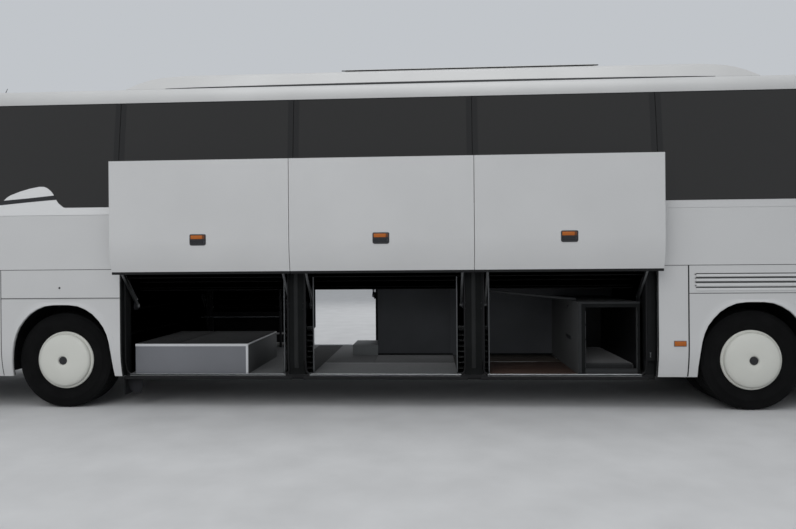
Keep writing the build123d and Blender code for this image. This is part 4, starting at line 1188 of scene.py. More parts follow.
@dataclass
class LoadSpace:
    """What lines and furnishes the luggage bays: floors, the raised box, the berth and the ceiling gear."""

    box: tuple[float, float, float, float] = (0.739, 1.951, -1.15, 0.06)
    box_top: float = 0.665
    berth: tuple[float, float] = (5.398, 6.018)

    def mat(self, name: str, finish: str, *span: float) -> None:
        """Lay one thin floor covering between two stations and two values of Y."""
        boards([(*span, 0.3455, 0.3495, 0.0015)]).done(name, finish)

    def floors(self) -> None:
        """Lay the coverings of the three bays."""
        self.mat("bay_1_floor_edge", "light_carpet", 0.662, 2.3, -1.122, 1.122)
        self.mat("bay_2_floor_front", "light_carpet", 2.64, 4.16, -1.122, -0.43)
        self.mat("bay_2_floor_back", "light_carpet", 2.64, 3.215, -0.426, 1.122)
        self.mat("bay_2_floor_side", "light_carpet", 3.219, 4.16, -0.426, 0.204)
        self.mat("bay_3_floor_front", "floor_board", 4.49, 5.396, -1.122, -0.33)
        self.mat("bay_3_floor_back", "worn_board", 4.49, 5.396, -0.326, 0.204)
        boards(((2.64, 4.16, -0.4305, -0.4255, 0.3495, 0.3515, 0.001),
            (4.49, 5.396, -0.3305, -0.3255, 0.3495, 0.3515, 0.001),
            (5.386, 5.397, -0.1, 0.185, 0.3495, 0.356, 0.001))).done("floor_strips", "aluminium")

    def raised_box(self) -> None:
        """Face the raised box with its panels, light edge trims and carpeted lid."""
        s0, s1, y0, y1 = self.box
        top = self.box_top
        lid = [(a, b, y0 + 0.018, y1 - 0.004, top + 0.0028, top + 0.0075, 0.002)
            for a, b in ((s0 + 0.004, s0 + 0.44), (s0 + 0.452, s1 - 0.016))]
        for name, finish, rows in (("box_front", "box_board", [(s0 + 0.002, s1 - 0.018, y0 - 0.0035, y0 - 0.0005,
                0.356, top - 0.018, 0.001)]), ("box_flank", "box_flank",
                [(s1 + 0.0005, s1 + 0.0035, y0 + 0.012, y1, 0.35, top - 0.01, 0.001)]),
                ("box_edge_trims", "light_trim", [(s0, s1 + 0.005, y0 - 0.006, y0 + 0.014, top - 0.022, top + 0.004,
                0.0025), (s1 - 0.019, s1 + 0.005, y0 - 0.006, y0 + 0.012, 0.356, top - 0.02, 0.0025),
                (s1 - 0.01, s1 + 0.005, y0 + 0.01, y1, top - 0.012, top + 0.004, 0.0025)]),
                ("box_lid_carpet", "bay_carpet", [(s0 + 0.002, s1 - 0.014, y0 + 0.016, y1, top + 0.0003, top + 0.003,
                0.001), *lid])):
            boards(rows).done(name, finish)

    def walls(self) -> None:
        """Line the housing wall with panels, kick strip and seams, and face the step box."""
        boards((a, b, 0.1995, 0.2045, 0.372, 1.3, 0.002) for a, b in ((3.222, 4.128), (4.44, 5.392))).done(
            "housing_panels", "bay_wall")
        boards(((3.219, 4.16, 0.197, 0.2045, 0.35, 0.371, 0.002), (4.49, 5.396, 0.197, 0.2045, 0.35, 0.371, 0.002),
            (3.212, 3.2165, 0.24, 1.15, 0.474, 1.43, 0.001))).done("housing_kick", "post_plastic")
        boards(((2.896, 3.2165, 0.2005, 0.2045, 0.35, 0.472, 0.0015),
            (2.8955, 2.8995, 0.2045, 0.7, 0.35, 0.472, 0.0015), (2.8955, 3.2165, 0.2005, 0.7, 0.4705, 0.4745,
            0.0015))).done("step_box_cover", "step_board")

    def ceiling(self) -> None:
        """Hang the rails, ducts and lamps beneath the saloon floor."""
        forms = {key: Form() for key in ("ceiling_sheets", "ceiling_rails", "cargo_rails", "ceiling_pipes",
            "bay_lamps")}
        lining, rails, pale, pipes, lamp = forms.values()
        for s0, s1, y1 in ((0.664, 2.39, 1.1), (2.575, 3.214, 1.1), (3.218, 4.224, 0.2), (4.424, 6.134, 0.2)):
            lining.sheet([[(at(s), y, 1.4335 - (0.004 if (i + j) % 2 else 0.0))
                for i, s in enumerate(spread(s0, s1, 12))] for j, y in enumerate(spread(-1.045, y1, 8))], 0.001)
        channel = [(-0.03, 0.055), (-0.03, 0.002), (-0.026, 0.0), (0.026, 0.0), (0.03, 0.002), (0.03, 0.055),
            (0.024, 0.055), (0.024, 0.007), (-0.024, 0.007), (-0.024, 0.055)]
        for s0, s1 in ((0.664, 2.392), (2.573, 4.226), (4.422, 6.058)):
            for y, z in ((-0.86, 1.345), (-0.35, 1.372)):
                rails.prism([(y + dy, z + dz) for dy, dz in channel], at(s0), at(s1), "x")
            for y, z, r in ((-0.7, 1.392, 0.012), (-0.665, 1.396, 0.008), (-0.12, 1.38, 0.019)):
                pipes.tube([(at(s0), y, z), (at(s0 + 0.4), y, z - 0.004), (at(s1 - 0.4), y, z - 0.004),
                    (at(s1), y, z)], r, 10)
        rails.block((at(1.15), 0.86, 1.375), (at(2.39), 0.9, 1.4), 0.004)
        rails.block((at(1.775), 0.915, 0.352), (at(1.805), 0.947, 1.43), 0.003)
        for z in (0.768, 1.206):
            pale.block((at(0.664), 0.925, z), (at(1.79), 0.945, z + 0.014), 0.003)
        rails.tube([(at(s), -0.95, z) for s, z in ((4.505, 1.4), (4.505, 1.206), (4.95, 1.16), (5.42, 1.111))], 0.016,
            12)
        for s, y in ((1.86, 0.3), (3.6, -0.2), (4.8, -0.2)):
            lamp.lathe([(0.0, -0.03), (0.02, -0.029), (0.034, -0.022), (0.04, -0.01), (0.042, 0.0), (0.046, 0.002),
                (0.046, 0.006)], (at(s), y, 1.425), "z", 24)
        finish_all(forms, {"ceiling_sheets": "ceiling_paint", "ceiling_rails": "rail_paint",
            "cargo_rails": "grey_paint", "ceiling_pipes": "black_plastic", "bay_lamps": "lamp_opal"})

    def berth_fittings(self) -> None:
        """Frame the berth's mouth and furnish it with its lining, sill, knobs, hook and mattress; the near-black
        lining is painted shade inside the berth.
        """
        s0, s1 = self.berth
        low, high, face = 0.3565, 1.094, (-1.1545, -1.1495)
        boards(((s0 + 0.03, s0 + 0.072, *face, low, 1.076, 0.002), (s1 - 0.03, s1 + 0.001, *face, low, 1.076, 0.002),
            (s0 + 0.07, s1 - 0.028, *face, 1.038, 1.076, 0.002))).done("berth_frame", "post_plastic")
        boards(((s0 - 0.001, s0 + 0.031, -1.1555, -1.149, low, high, 0.002),
            (s0 + 0.029, s1 + 0.001, -1.1555, -1.149, 1.075, high, 0.002))).done("berth_edge", "rail_paint")
        sill = boards([(s0 + 0.066, s1 - 0.026, -1.158, -1.1, 0.368, 0.404, 0.006)]
            + [(s - 0.004, s + 0.004, -1.16, -1.15, 0.42 + 0.15 * k, 0.55 + 0.15 * k, 0.002) for k in range(4)
            for s in (s0 + 0.0705, s1 - 0.0285)])
        sill.tube([(at(s0 + 0.07), -1.152, 0.404), (at(s1 - 0.03), -1.152, 0.404)], 0.008, 10)
        sill.done("berth_sill", "rail_paint")
        # Near-black sheets over the berth's inside walls and ceiling: painted shade in the depth of the berth.
        boards(((s0 + 0.0283, s0 + 0.0305, -1.122, 0.1765, 0.376, 1.0635, 0.0005),
            (s1 - 0.0305, s1 - 0.0283, -1.122, 0.1765, 0.376, 1.0635, 0.0005),
            (s0 + 0.03, s1 - 0.03, 0.1745, 0.1767, 0.376, 1.0635, 0.0005),
            (s0 + 0.03, s1 - 0.03, -1.122, 0.175, 1.0613, 1.0637, 0.0005)), 1).done("berth_lining", "seal_rubber")
        knob = boards([(s0 - 0.0035, s0 + 0.001, -0.82, -0.6, 0.67, 0.708, 0.002)])
        knob.lathe([(0.0, 0.016), (0.01, 0.015), (0.012, 0.008), (0.012, 0.0)], (at(s0 - 0.0005), -0.7, 1.02), "x",
            16, -1.0)
        knob.done("berth_knobs", "black_plastic")
        hook = boards([(6.098, 6.11, -1.208, -1.202, 0.535, 0.585, 0.002)])
        hook.tube([(at(6.104), -1.206 + 0.006 * math.cos(t), 0.56 + 0.022 * math.sin(t))
            for t in (math.pi * k / 8 for k in range(-4, 11))], 0.0025, 8)
        hook.done("berth_hook", "arm_steel")
        self.mattress(at(s0 + 0.034), at(s1 - 0.034), -1.09, 0.17)

    def mattress(self, x0: float, x1: float, y0: float, y1: float) -> None:
        """Lay the berth's mattress between two values of X and two of Y."""
        bed = Form()
        rows = []
        for z, grow in ((0.374, 0.012), (0.38, 0.003), (0.41, 0.0), (0.44, 0.003), (0.45, 0.014), (0.455, 0.04),
                (0.458, 0.12)):
            rows.append([(x, y, z + (0.0 if z < 0.44 else 0.0025 * math.sin(9 * y)))
                for x, y in rounded((x0 + grow, y0 + grow), (x1 - grow, y1 - grow), 0.05)])
            rows[-1].append(rows[-1][0])
        bed.sheet(rows)
        bed.faces(rows[-1][:-1], [list(range(len(rows[-1]) - 1))])
        bed.faces(rows[0][:-1], [list(range(len(rows[0]) - 1))[::-1]])
        bed.done("berth_mattress", "berth_cloth")

    def bulkheads(self) -> None:
        """Face the front and rear bulkheads with ribbed sheets."""
        form = Form()
        for s, sign in ((0.6605, 1.0), (6.1395, -1.0)):
            rows = []
            for z in (0.36, 0.5, 0.505, 0.515, 0.52, 0.76, 0.765, 0.775, 0.78, 1.02, 1.025, 1.035, 1.04, 1.3, 1.42):
                dent = 0.006 if z in (0.505, 0.515, 0.765, 0.775, 1.025, 1.035) else 0.003
                rows.append([(at(s) + sign * dent, y, z) for y in spread(-1.09, 1.09, 16)])
            form.sheet(rows, 0.001)
        form.done("bulkhead_sheets", "ceiling_paint")

    def build(self) -> None:
        """Build the whole inside of the bays."""
        self.floors()
        self.raised_box()
        self.walls()
        self.ceiling()
        self.berth_fittings()
        self.bulkheads()


class Bays:
    """The luggage bays of both sides and all that is in them."""

    def build(self) -> None:
        """Build the surrounds, then the insides."""
        flaps = Flaps()
        Surround(Side.LEFT, ((0.654, 2.3985), (2.578, 4.233), (4.428, 6.066)), ((2.395, 2.57), (4.229, 4.419)),
            (2.33, 2.64, 4.16, 4.49), ((6.022, 6.061),)).build(flaps.arms_left)
        Surround(Side.RIGHT, ((0.66, 1.868), (1.995, 3.114)), ((1.865, 1.985),), ()).build(flaps.arms_right)
        LoadSpace().build()


# Body sides


ARCH_HALF = ((0.555, 0.342), (0.549, 0.42), (0.543, 0.5), (0.532, 0.6), (0.516, 0.7), (0.494, 0.78), (0.458, 0.86),
    (0.407, 0.93), (0.34, 1.0), (0.262, 1.05), (0.18, 1.083), (0.085, 1.095), (0.0, 1.096))
ARCH_GROW = (0.022, 0.024, 0.028, 0.036, 0.046, 0.058, 0.068, 0.074, 0.076, 0.068, 0.048, 0.03, 0.026)


@dataclass
class Flank:
    """The seams, arch lips, louvres, markers and window trims of one side."""

    side: Side
    arches: tuple[float, ...] = (AXLE_1, AXLE_2, AXLE_3)
    doors: tuple[tuple[float, float], ...] = ()

    def p(self, s: float, z: float, proud: float = 0.0) -> Point:
        """A point on the outer skin by station and height, standing proud of it."""
        return (at(s), self.side * (skin_y(z) + proud), z)

    def tag(self, name: str) -> str:
        """A piece name with this side's ending."""
        return f"{name}_{self.side.hand}"

    def patch(self, form: Form, outline: Sequence[tuple[float, float]], proud: float = 0.0015,
            sink: float = 0.002) -> None:
        """Add a thin plate whose outline is given by station and height, lying on the skin.

        Args:
            form: the form that it joins.
            outline: corner points as station and height.
            proud: how far it stands out.
            sink: how far its edge goes in.
        """
        count = len(outline)
        points = [self.p(s, z, proud) for s, z in outline] + [self.p(s, z, -sink) for s, z in outline]
        loops = [list(range(count))] + [[i, (i + 1) % count, count + (i + 1) % count, count + i]
            for i in range(count)]
        part = bmesh.new()
        verts = [part.verts.new(p) for p in points]
        for loop in loops:
            part.faces.new([verts[i] for i in loop])
        bmesh.ops.triangulate(part, faces=[f for f in part.faces if len(f.verts) > 4])
        bmesh.ops.recalc_face_normals(part, faces=part.faces[:])
        form.take(part)

    def spans(self, start: float, end: float) -> list[tuple[float, float]]:
        """The stretches between two stations that no door breaks."""
        spans = [(start, end)]
        for a, b in self.doors:
            spans = [(lo, hi) for x, y in spans for lo, hi in ((x, min(y, a)), (max(x, b), y)) if hi - lo > 0.01]
        return spans

    def level(self, form: Form, s0: float, s1: float, z: float, width: float, proud: float = SEAM_PROUD) -> None:
        """Add a level seam between two stations, broken at the doors."""
        for lo, hi in self.spans(s0, s1):
            self.patch(form, rect(lo, hi, z - width / 2, z + width / 2), proud)

    def strip(self, form: Form, stations: Sequence[float], z: float, profile: Sequence[tuple[float, float]]) -> None:
        """Add a strip along some stations, its profile given by height above z and how far it stands out."""
        form.sheet([[self.p(s, z + dz, proud) for s in stations] for dz, proud in profile])

    def upright(self, form: Form, s: float, z0: float, z1: float, width: float, proud: float = SEAM_PROUD) -> None:
        """Add an upright seam that follows the skin."""
        zs = sorted({z0, z1, *(z for z in (0.4, 0.46, 0.52, 0.58, SKIRT_BEND, BELT) if z0 < z < z1)})
        for a, b in zip(zs, zs[1:]):
            self.patch(form, rect(s - width / 2, s + width / 2, a, b), proud)

    def seams(self) -> None:
        """Lay the panel seams, the strong one ahead of the rear arches and the rubber beside the bays."""
        fine, strong = Form(), Form()
        first, bay_start, joint, last = -2.17, 0.648, 6.458, 10.83
        bay_end = BAY_ENDS[self.side]
        self.level(fine, first, bay_start, BELT, 0.0055)
        self.level(fine, bay_end + 0.002, last, BELT, 0.0055)
        for a, b in ((-0.655, bay_start), (joint, last)):
            self.level(fine, a, b, 1.166 if a < 0 else 1.184, 0.006)
        self.upright(fine, -0.655, 0.345, BELT, 0.0075)
        self.upright(fine, -2.172, 0.605, BELT, 0.005)
        for s in (8.79, 9.62, 10.832):
            self.upright(fine, s, 0.345 if s < 10 else 0.605, 1.181, 0.0055)
        if self.side is Side.RIGHT:
            for s in (4.162, 5.3):
                self.upright(fine, s, 0.345, BELT, 0.0055)
        self.upright(strong, joint, 0.345, BELT - 0.003, 0.0125)
        self.upright(strong, 0.6425, 0.34, 1.437, 0.016, 0.0016)
        self.upright(strong, bay_end + 0.007, 0.34, 1.437, 0.013, 0.0016)
        fine.done(self.tag("fine_seams"), "seam_grey")
        strong.done(self.tag("strong_seams"), "seal_rubber")

    def lips(self) -> None:
        """Roll the painted lip around each wheel arch, flared a little towards the opening."""
        lip, inner = Form(), Form()
        half = [(x, z, g) for (x, z), g in zip(ARCH_HALF, ARCH_GROW)]
        run = [(-x, z, g) for x, z, g in half] + [(x, z, g) for x, z, g in half[-2::-1]]
        for axle in self.arches:
            rows: list[list[Point]] = [[] for _ in range(8)]
            dark: list[list[Point]] = [[] for _ in range(3)]
            for k, (x, z, grow) in enumerate(run):
                before, after = run[max(0, k - 1)], run[min(len(run) - 1, k + 1)]
                tx, tz = after[0] - before[0], after[1] - before[1]
                length = math.hypot(tx, tz)
                nx, nz = -tz / length, tx / length
                if z < 0.35:
                    nx, nz = math.copysign(1.0, x), 0.0
                flare = 0.0065 * min(1.0, max(0.0, (z - 0.36) / 0.35))
                for row, (out, proud) in enumerate(((grow, 0.0004), (0.62 * grow, 0.0016),
                        (0.3 * grow, 0.003 + 0.55 * flare), (0.1 * grow, 0.0035 + flare), (0.0, 0.002 + flare),
                        (-0.003, -0.004 + flare), (-0.002, -0.016), (0.004, -0.03))):
                    px, pz = x + out * nx, z + out * nz
                    rows[row].append((axle + px, self.side * (skin_y(pz) + proud), pz))
                for row, (out, proud) in enumerate(((0.003, -0.026), (0.0, -0.036), (0.02, -0.04))):
                    px, pz = x + out * nx, z + out * nz
                    dark[row].append((axle + px, self.side * (skin_y(pz) + proud), pz))
            lip.sheet(rows)
            inner.sheet(dark, 0.002)
        lip.done(self.tag("arch_lips"), "white_paint")
        inner.done(self.tag("arch_rubbers"), "seal_rubber")

    def louvres(self) -> None:
        """Lay the slots and blades above the drive wheels, and the engine bay's grille."""
        slot, blade, mesh = Form(), Form(), Form()
        for z, width in ((1.381, 0.007), (1.341, 0.012), (1.291, 0.012), (1.242, 0.012)):
            self.level(slot, 6.529, 8.7, z, width, 0.001)
        for z in (1.3615, 1.3165, 1.267, 1.222):
            self.strip(blade, (6.532, 7.2, 7.9, 8.697), z, ((0.013, 0.0002), (0.009, 0.003), (0.0, 0.0042),
                (-0.012, 0.005), (-0.0135, 0.001)))
        self.patch(mesh, rect(9.72, 10.74, 0.66, 1.13), 0.0006)
        for k in range(12):
            self.strip(blade, (9.725, 10.23, 10.735), 0.685 + 0.0385 * k,
                ((0.018, 0.0006), (0.008, 0.0055), (-0.004, 0.0075), (-0.01, 0.0008)))
        for s in (9.72, 10.74):
            self.upright(blade, s, 0.66, 1.13, 0.012, 0.008)
        slot.done(self.tag("louvre_slots"), "seam_grey")
        blade.done(self.tag("louvre_blades"), "white_paint")
        mesh.done(self.tag("engine_grille"), "black_plastic")

    def markers(self) -> None:
        """Fit the amber side markers, the locks and the filler flap."""
        lens, base, lock = Form(), Form(), Form()
        for s, z in ((6.372, 0.681), (-0.86, 0.681), (9.2, 0.681), (10.62, 0.62)):
            x, y = at(s), self.side * skin_y(z)
            base.block((x - 0.062, y - 0.004, z - 0.029), (x + 0.062, y + 0.004, z + 0.029), 0.003)
            y = self.side * (skin_y(z) + 0.006)
            lens.block((x - 0.056, y - 0.006, z - 0.0235), (x + 0.056, y + 0.006, z + 0.0235), 0.005, 3)
            for k in range(7):
                rib = x - 0.049 + 0.0155 * k
                lens.block((rib, y - 0.0068, z - 0.019), (rib + 0.007, y + 0.0068, z + 0.019), 0.001, 1)
        for s, z in ((-0.016, 1.274), (9.72, 1.3), (10.6, 1.3), (-1.0, 1.3)):
            if not any(a - 0.05 < s < b + 0.05 for a, b in self.doors):
                lock.lathe([(0.0, 0.0012), (0.006, 0.0014), (0.0075, 0.0022), (0.01, 0.002), (0.011, 0.0)],
                    self.p(s, z), "y", 20, self.side)
        if self.side is Side.LEFT:
            s0, s1, z0, z1 = -1.62, -1.24, 0.86, 1.16
            for z in (z0, z1):
                self.level(lock, s0, s1, z, 0.005)
            for s in (s0, s1):
                self.upright(lock, s, z0, z1, 0.005)
            lock.lathe([(0.0, 0.002), (0.01, 0.002), (0.012, 0.0)], self.p(s1 - 0.035, 1.01), "y", 20, self.side)
        base.done(self.tag("marker_bases"), "marker_base")
        lens.done(self.tag("marker_lenses"), "amber_lens")
        lock.done(self.tag("panel_locks"), "black_plastic")

    def windows(self) -> None:
        """Seal the pane joints, and print the dark borders that hide the posts behind the glass."""
        seal, border = Form(), Form()
        zs = spread(GLASS_LOW, GLASS_HIGH, 10)
        start, end = -1.3, 10.715
        for s in PANE_JOINTS:
            seal.sheet([[self.p(s + ds, z, proud) for z in zs] for ds, proud in ((-0.0045, -0.0018),
                (-0.003, -0.0006), (0.003, -0.0006), (0.0045, -0.0018))], 0.001)
            for a, b in ((s - 0.058, s - 0.0065), (s + 0.0065, s + 0.058)):
                border.sheet([[self.p(x, z, 0.0006) for z in zs] for x in (a, b)])
        for z, half, doors in ((GLASS_HIGH - 0.004, 0.0045, False), (GLASS_LOW + 0.003, 0.0035, True)):
            low = 0.1 if doors and self.side is Side.LEFT else start
            for lo, hi in self.spans(low, end) if doors else [(low, end)]:
                self.strip(seal, spread(lo, hi, 12), z, ((-half, 0.0003), (-half * 0.5, 0.0022), (half * 0.5, 0.0022),
                    (half, 0.0003)))
        seal.done(self.tag("pane_seals"), "seal_rubber")
        border.done(self.tag("pane_borders"), "border_glass")

    def build(self) -> None:
        """Build everything on this side."""
        self.seams()
        self.lips()
        self.louvres()
        self.markers()
        self.windows()


@dataclass
class DriverWindow:
    """The painted wing, dark slot and swept sill under the driver's side window."""

    wing: tuple[tuple[float, float], ...] = ((-0.622, 2.203), (-0.59, 2.233), (-0.555, 2.256), (-0.46, 2.292),
        (-0.345, 2.326), (-0.24, 2.345), (-0.188, 2.344), (-0.16, 2.333), (-0.136, 2.317), (-0.112, 2.297),
        (-0.095, 2.276), (-0.078, 2.2505), (-0.2, 2.2385), (-0.4, 2.22))
    slot: tuple[tuple[float, float], ...] = ((-0.7, 2.15), (-0.66, 2.18), (-0.622, 2.203), (-0.4, 2.22),
        (-0.2, 2.2385), (-0.074, 2.2515), (-0.06, 2.232), (-0.054, 2.205), (-0.2, 2.194), (-0.4, 2.178))
    sill: tuple[tuple[float, float], ...] = ((-0.8, 2.115), (-0.78, 2.14), (-0.7, 2.15), (-0.4, 2.178), (-0.2, 2.194),
        (-0.054, 2.2055), (-0.045, 2.192), (-0.034, 2.175), (-0.02, 2.157), (-0.003, 2.14), (0.016, 2.125),
        (0.039, 2.118), (0.604, 2.118), (0.604, 2.041), (-0.8, 2.041))

    def build(self) -> None:
        """Lay the three shapes on the left skin, each proud of the last."""
        flank = Flank(Side.LEFT)
        # The sill and wing wear the lighter white, a painted highlight where the skin tilts up to the light.
        for name, outline, proud, finish in (("sill_sweep", self.sill, 0.0019, "sill_white"),
                ("sill_slot", self.slot, 0.0034, "trim_black"), ("window_wing", self.wing, 0.0052, "sill_white")):
            form = Form()
            flank.patch(form, outline, proud, 0.003)
            form.done(name, finish, smooth=20.0)


class Flanks:
    """Both sides of the body."""

    def build(self) -> None:
        """Build the left side, the right side and the driver's window."""
        Flank(Side.LEFT).build()
        Flank(Side.RIGHT, doors=(FRONT_DOOR, MID_DOOR)).build()
        DriverWindow().build()


# Ends, roof, doors and mirrors


class Skin:
    """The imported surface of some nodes, on which pieces are laid by a pair of coordinates."""

    def __init__(self, nodes: dict[str, bpy.types.Object], names: Sequence[str], axis: int, sign: float) -> None:
        """Gather the nodes' faces.

        Args:
            nodes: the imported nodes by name.
            names: which of them count.
            axis: 0 for X or 2 for Z, the axis that is looked along.
            sign: plus one to look towards higher values.
        """
        points: list[Vector] = []
        loops: list[list[int]] = []
        for name in names:
            base = len(points)
            obj = nodes[name]
            points += [obj.matrix_world @ vert.co for vert in obj.data.vertices]
            loops += [[base + i for i in poly.vertices] for poly in obj.data.polygons]
        self.tree = BVHTree.FromPolygons(points, loops)
        self.axis, self.sign = axis, sign
        self.last = (min if sign > 0 else max)(point[axis] for point in points)

    def point(self, a: float, b: float, proud: float = 0.0) -> Point:
        """A point on the surface, from its two other coordinates in order, standing proud of it."""
        origin = Vector((0.0, a, b)) if self.axis == 0 else Vector((a, b, 0.0))
        origin[self.axis] = -20.0 * self.sign
        ray = Vector((0.0, 0.0, 0.0))
        ray[self.axis] = self.sign
        hit = self.tree.ray_cast(origin, ray)[0]
        if hit is not None and abs(hit[self.axis] - self.last) < 0.6:
            self.last = hit[self.axis]
        out = [0.0, a, b] if self.axis == 0 else [a, b, 0.0]
        out[self.axis] = self.last - self.sign * proud
        return (out[0], out[1], out[2])

    def quad(self, form: Form, corners: Sequence[tuple[float, float]], steps: tuple[int, int] = (8, 4),
            proud: float = 0.0015, thick: float = 0.003) -> None:
        """Lay a four-cornered plate on the surface.

        Args:
            form: the form that it joins.
            corners: its four corners in order around.
            steps: how finely it follows the surface each way.
            proud: how far its face stands out.
            thick: its thickness.
        """
        (a0, b0), (a1, b1), (a2, b2), (a3, b3) = corners
        rows, under = [], []
        for j in range(steps[1] + 1):
            v = j / steps[1]
            line = []
            for i in range(steps[0] + 1):
                u = i / steps[0]
                line.append(self.point((1 - v) * ((1 - u) * a0 + u * a1) + v * ((1 - u) * a3 + u * a2),
                    (1 - v) * ((1 - u) * b0 + u * b1) + v * ((1 - u) * b3 + u * b2), proud))
            rows.append(line)
            down = []
            for p in line:
                q = list(p)
                q[self.axis] += self.sign * thick
                down.append((q[0], q[1], q[2]))
            under.append(down)
        form.sheet(rows)
        rim = [rows[0], [r[-1] for r in rows], rows[-1][::-1], [r[0] for r in rows][::-1]]
        low = [under[0], [r[-1] for r in under], under[-1][::-1], [r[0] for r in under][::-1]]
        for top, foot in zip(rim, low):
            form.sheet([top, foot])

    def ring(self, form: Form, corners: tuple[float, float, float, float], width: float,
            proud: float = 0.0015) -> None:
        """Lay a rectangular border.

        Args:
            form: the form that it joins.
            corners: lowest and highest first coordinate, then lowest and highest second.
            width: width of the border.
            proud: how far it stands out.
        """
        a0, a1, b0, b1 = corners
        for box in ((a0, a1, b0, b0 + width), (a0, a1, b1 - width, b1), (a0, a0 + width, b0 + width, b1 - width),
                (a1 - width, a1, b0 + width, b1 - width)):
            steps = (12, 1) if box[1] - box[0] > box[3] - box[2] else (1, 12)
            self.quad(form, rect(box[0], box[1], box[2], box[3]), steps, proud)

    def round_lamp(self, forms: dict[str, Form], a: float, b: float, radius: float, lens: str,
            turn: float = -1.0) -> None:
        """Set a round lamp on the surface: a dark bezel, a bright bowl rim and a domed lens.

        Args:
            forms: the forms by part name; bezel, bowl and one per lens.
            a: first coordinate of its centre.
            b: second coordinate of its centre.
            radius: radius of the lens.
            lens: which form takes the lens.
            turn: minus one where the lamp looks towards -X.
        """
        depth = self.point(a, b)
        face = (depth[0] - 0.003 * self.sign, a, b)
        forms["bezel"].lathe([(radius * 1.18, -0.01), (radius * 1.18, 0.004), (radius * 1.1, 0.008),
            (radius * 1.02, 0.006), (radius, 0.0)], face, "x", 32, turn)
        forms["bowl"].lathe([(radius * 1.01, 0.003), (radius * 0.93, 0.0055), (radius * 0.86, 0.003)], face, "x", 32,
            turn)
        forms[lens].lathe([(0.0, 0.0105), (radius * 0.35, 0.0098), (radius * 0.66, 0.0076), (radius * 0.88, 0.0042),
            (radius * 0.96, 0.001)], face, "x", 32, turn)


@dataclass
class FrontEnd:
    """The lamps, grilles, seams and screen borders of the front."""

    nodes: dict[str, bpy.types.Object]

    def build(self) -> None:
        """Build it all."""
        skin = Skin(self.nodes, ("front_panel", "screens", "bumpers", "lamps"), 0, 1.0)
        looks = {"bezel": "trim_black", "bowl": "aluminium", "clear": "clear_lens", "amber": "amber_lens",
            "grille": "black_plastic", "blade": "aluminium", "seam": "seal_rubber", "border": "border_glass",
            "plate": "light_trim"}
        forms = {key: Form() for key in looks}
        for side in (-1, 1):
            skin.ring(forms["bezel"], (*beside(side, 0.7, 1.15), 0.68, 0.85), 0.012, 0.004)
            for y, z, radius in ((0.79, 0.765, 0.058), (0.925, 0.765, 0.058), (1.055, 0.765, 0.05),
                    (0.93, 0.47, 0.046)):
                skin.round_lamp(forms, side * y, z, radius, "clear")
            skin.quad(forms["amber"], rect(*beside(side, 0.715, 1.135), 0.652, 0.672), (10, 1), 0.005)
            skin.quad(forms["clear"], rect(*beside(side, 0.97, 1.06), 3.18, 3.205), (4, 1), 0.006)
        plates = []
        for k in range(3):
            z = 0.722 + 0.04 * k
            plates += [("grille", (-0.56, 0.56, z, z + 0.02), (16, 1), 0.001),
                ("blade", (-0.565, 0.565, z - 0.006, z), (16, 1), 0.006)]
        plates.append(("grille", (-0.74, 0.74, 0.405, 0.52), (18, 3), 0.001))
        for z in (0.414 + 0.0245 * k for k in range(5)):
            plates.append(("grille", (-0.735, 0.735, z, z + 0.007), (18, 1), 0.007))
        for z, tall, half in ((0.602, 0.004, 1.12), (0.89, 0.0025, 1.12), (1.27, 0.003, 1.14)):
            plates.append(("seam", (-half, half, z - tall, z + tall), (24, 1), SEAM_PROUD))
        for y in (-0.62, 0.62):
            plates.append(("seam", (y - 0.003, y + 0.003, 0.893, 1.267), (1, 6), SEAM_PROUD))
        plates += [("border", (-1.1, 1.1, 1.338, 1.435), (24, 3), SEAM_PROUD),
            ("border", (-1.05, 1.05, 2.955, 3.08), (24, 3), SEAM_PROUD),
            ("border", (-0.022, 0.022, 1.435, 2.955), (1, 20), SEAM_PROUD)]
        for z in (1.334, 3.086):
            plates.append(("seam", (-1.1, 1.1, z - 0.005, z + 0.005), (24, 1), 0.003))
        for key, box, steps, proud in plates:
            skin.quad(forms[key], rect(*box), steps, proud)
        skin.quad(forms["plate"], rect(-0.26, 0.26, 0.53, 0.595), (6, 2), 0.006, 0.008)
        for side in (-1, 1):
            skin.quad(forms["border"], ((side * 1.02, 1.435), (side * 1.1, 1.435), (side * 1.07, 2.955),
                (side * 0.99, 2.955)), (3, 24), SEAM_PROUD)
        finish_all(forms, looks, "front_")


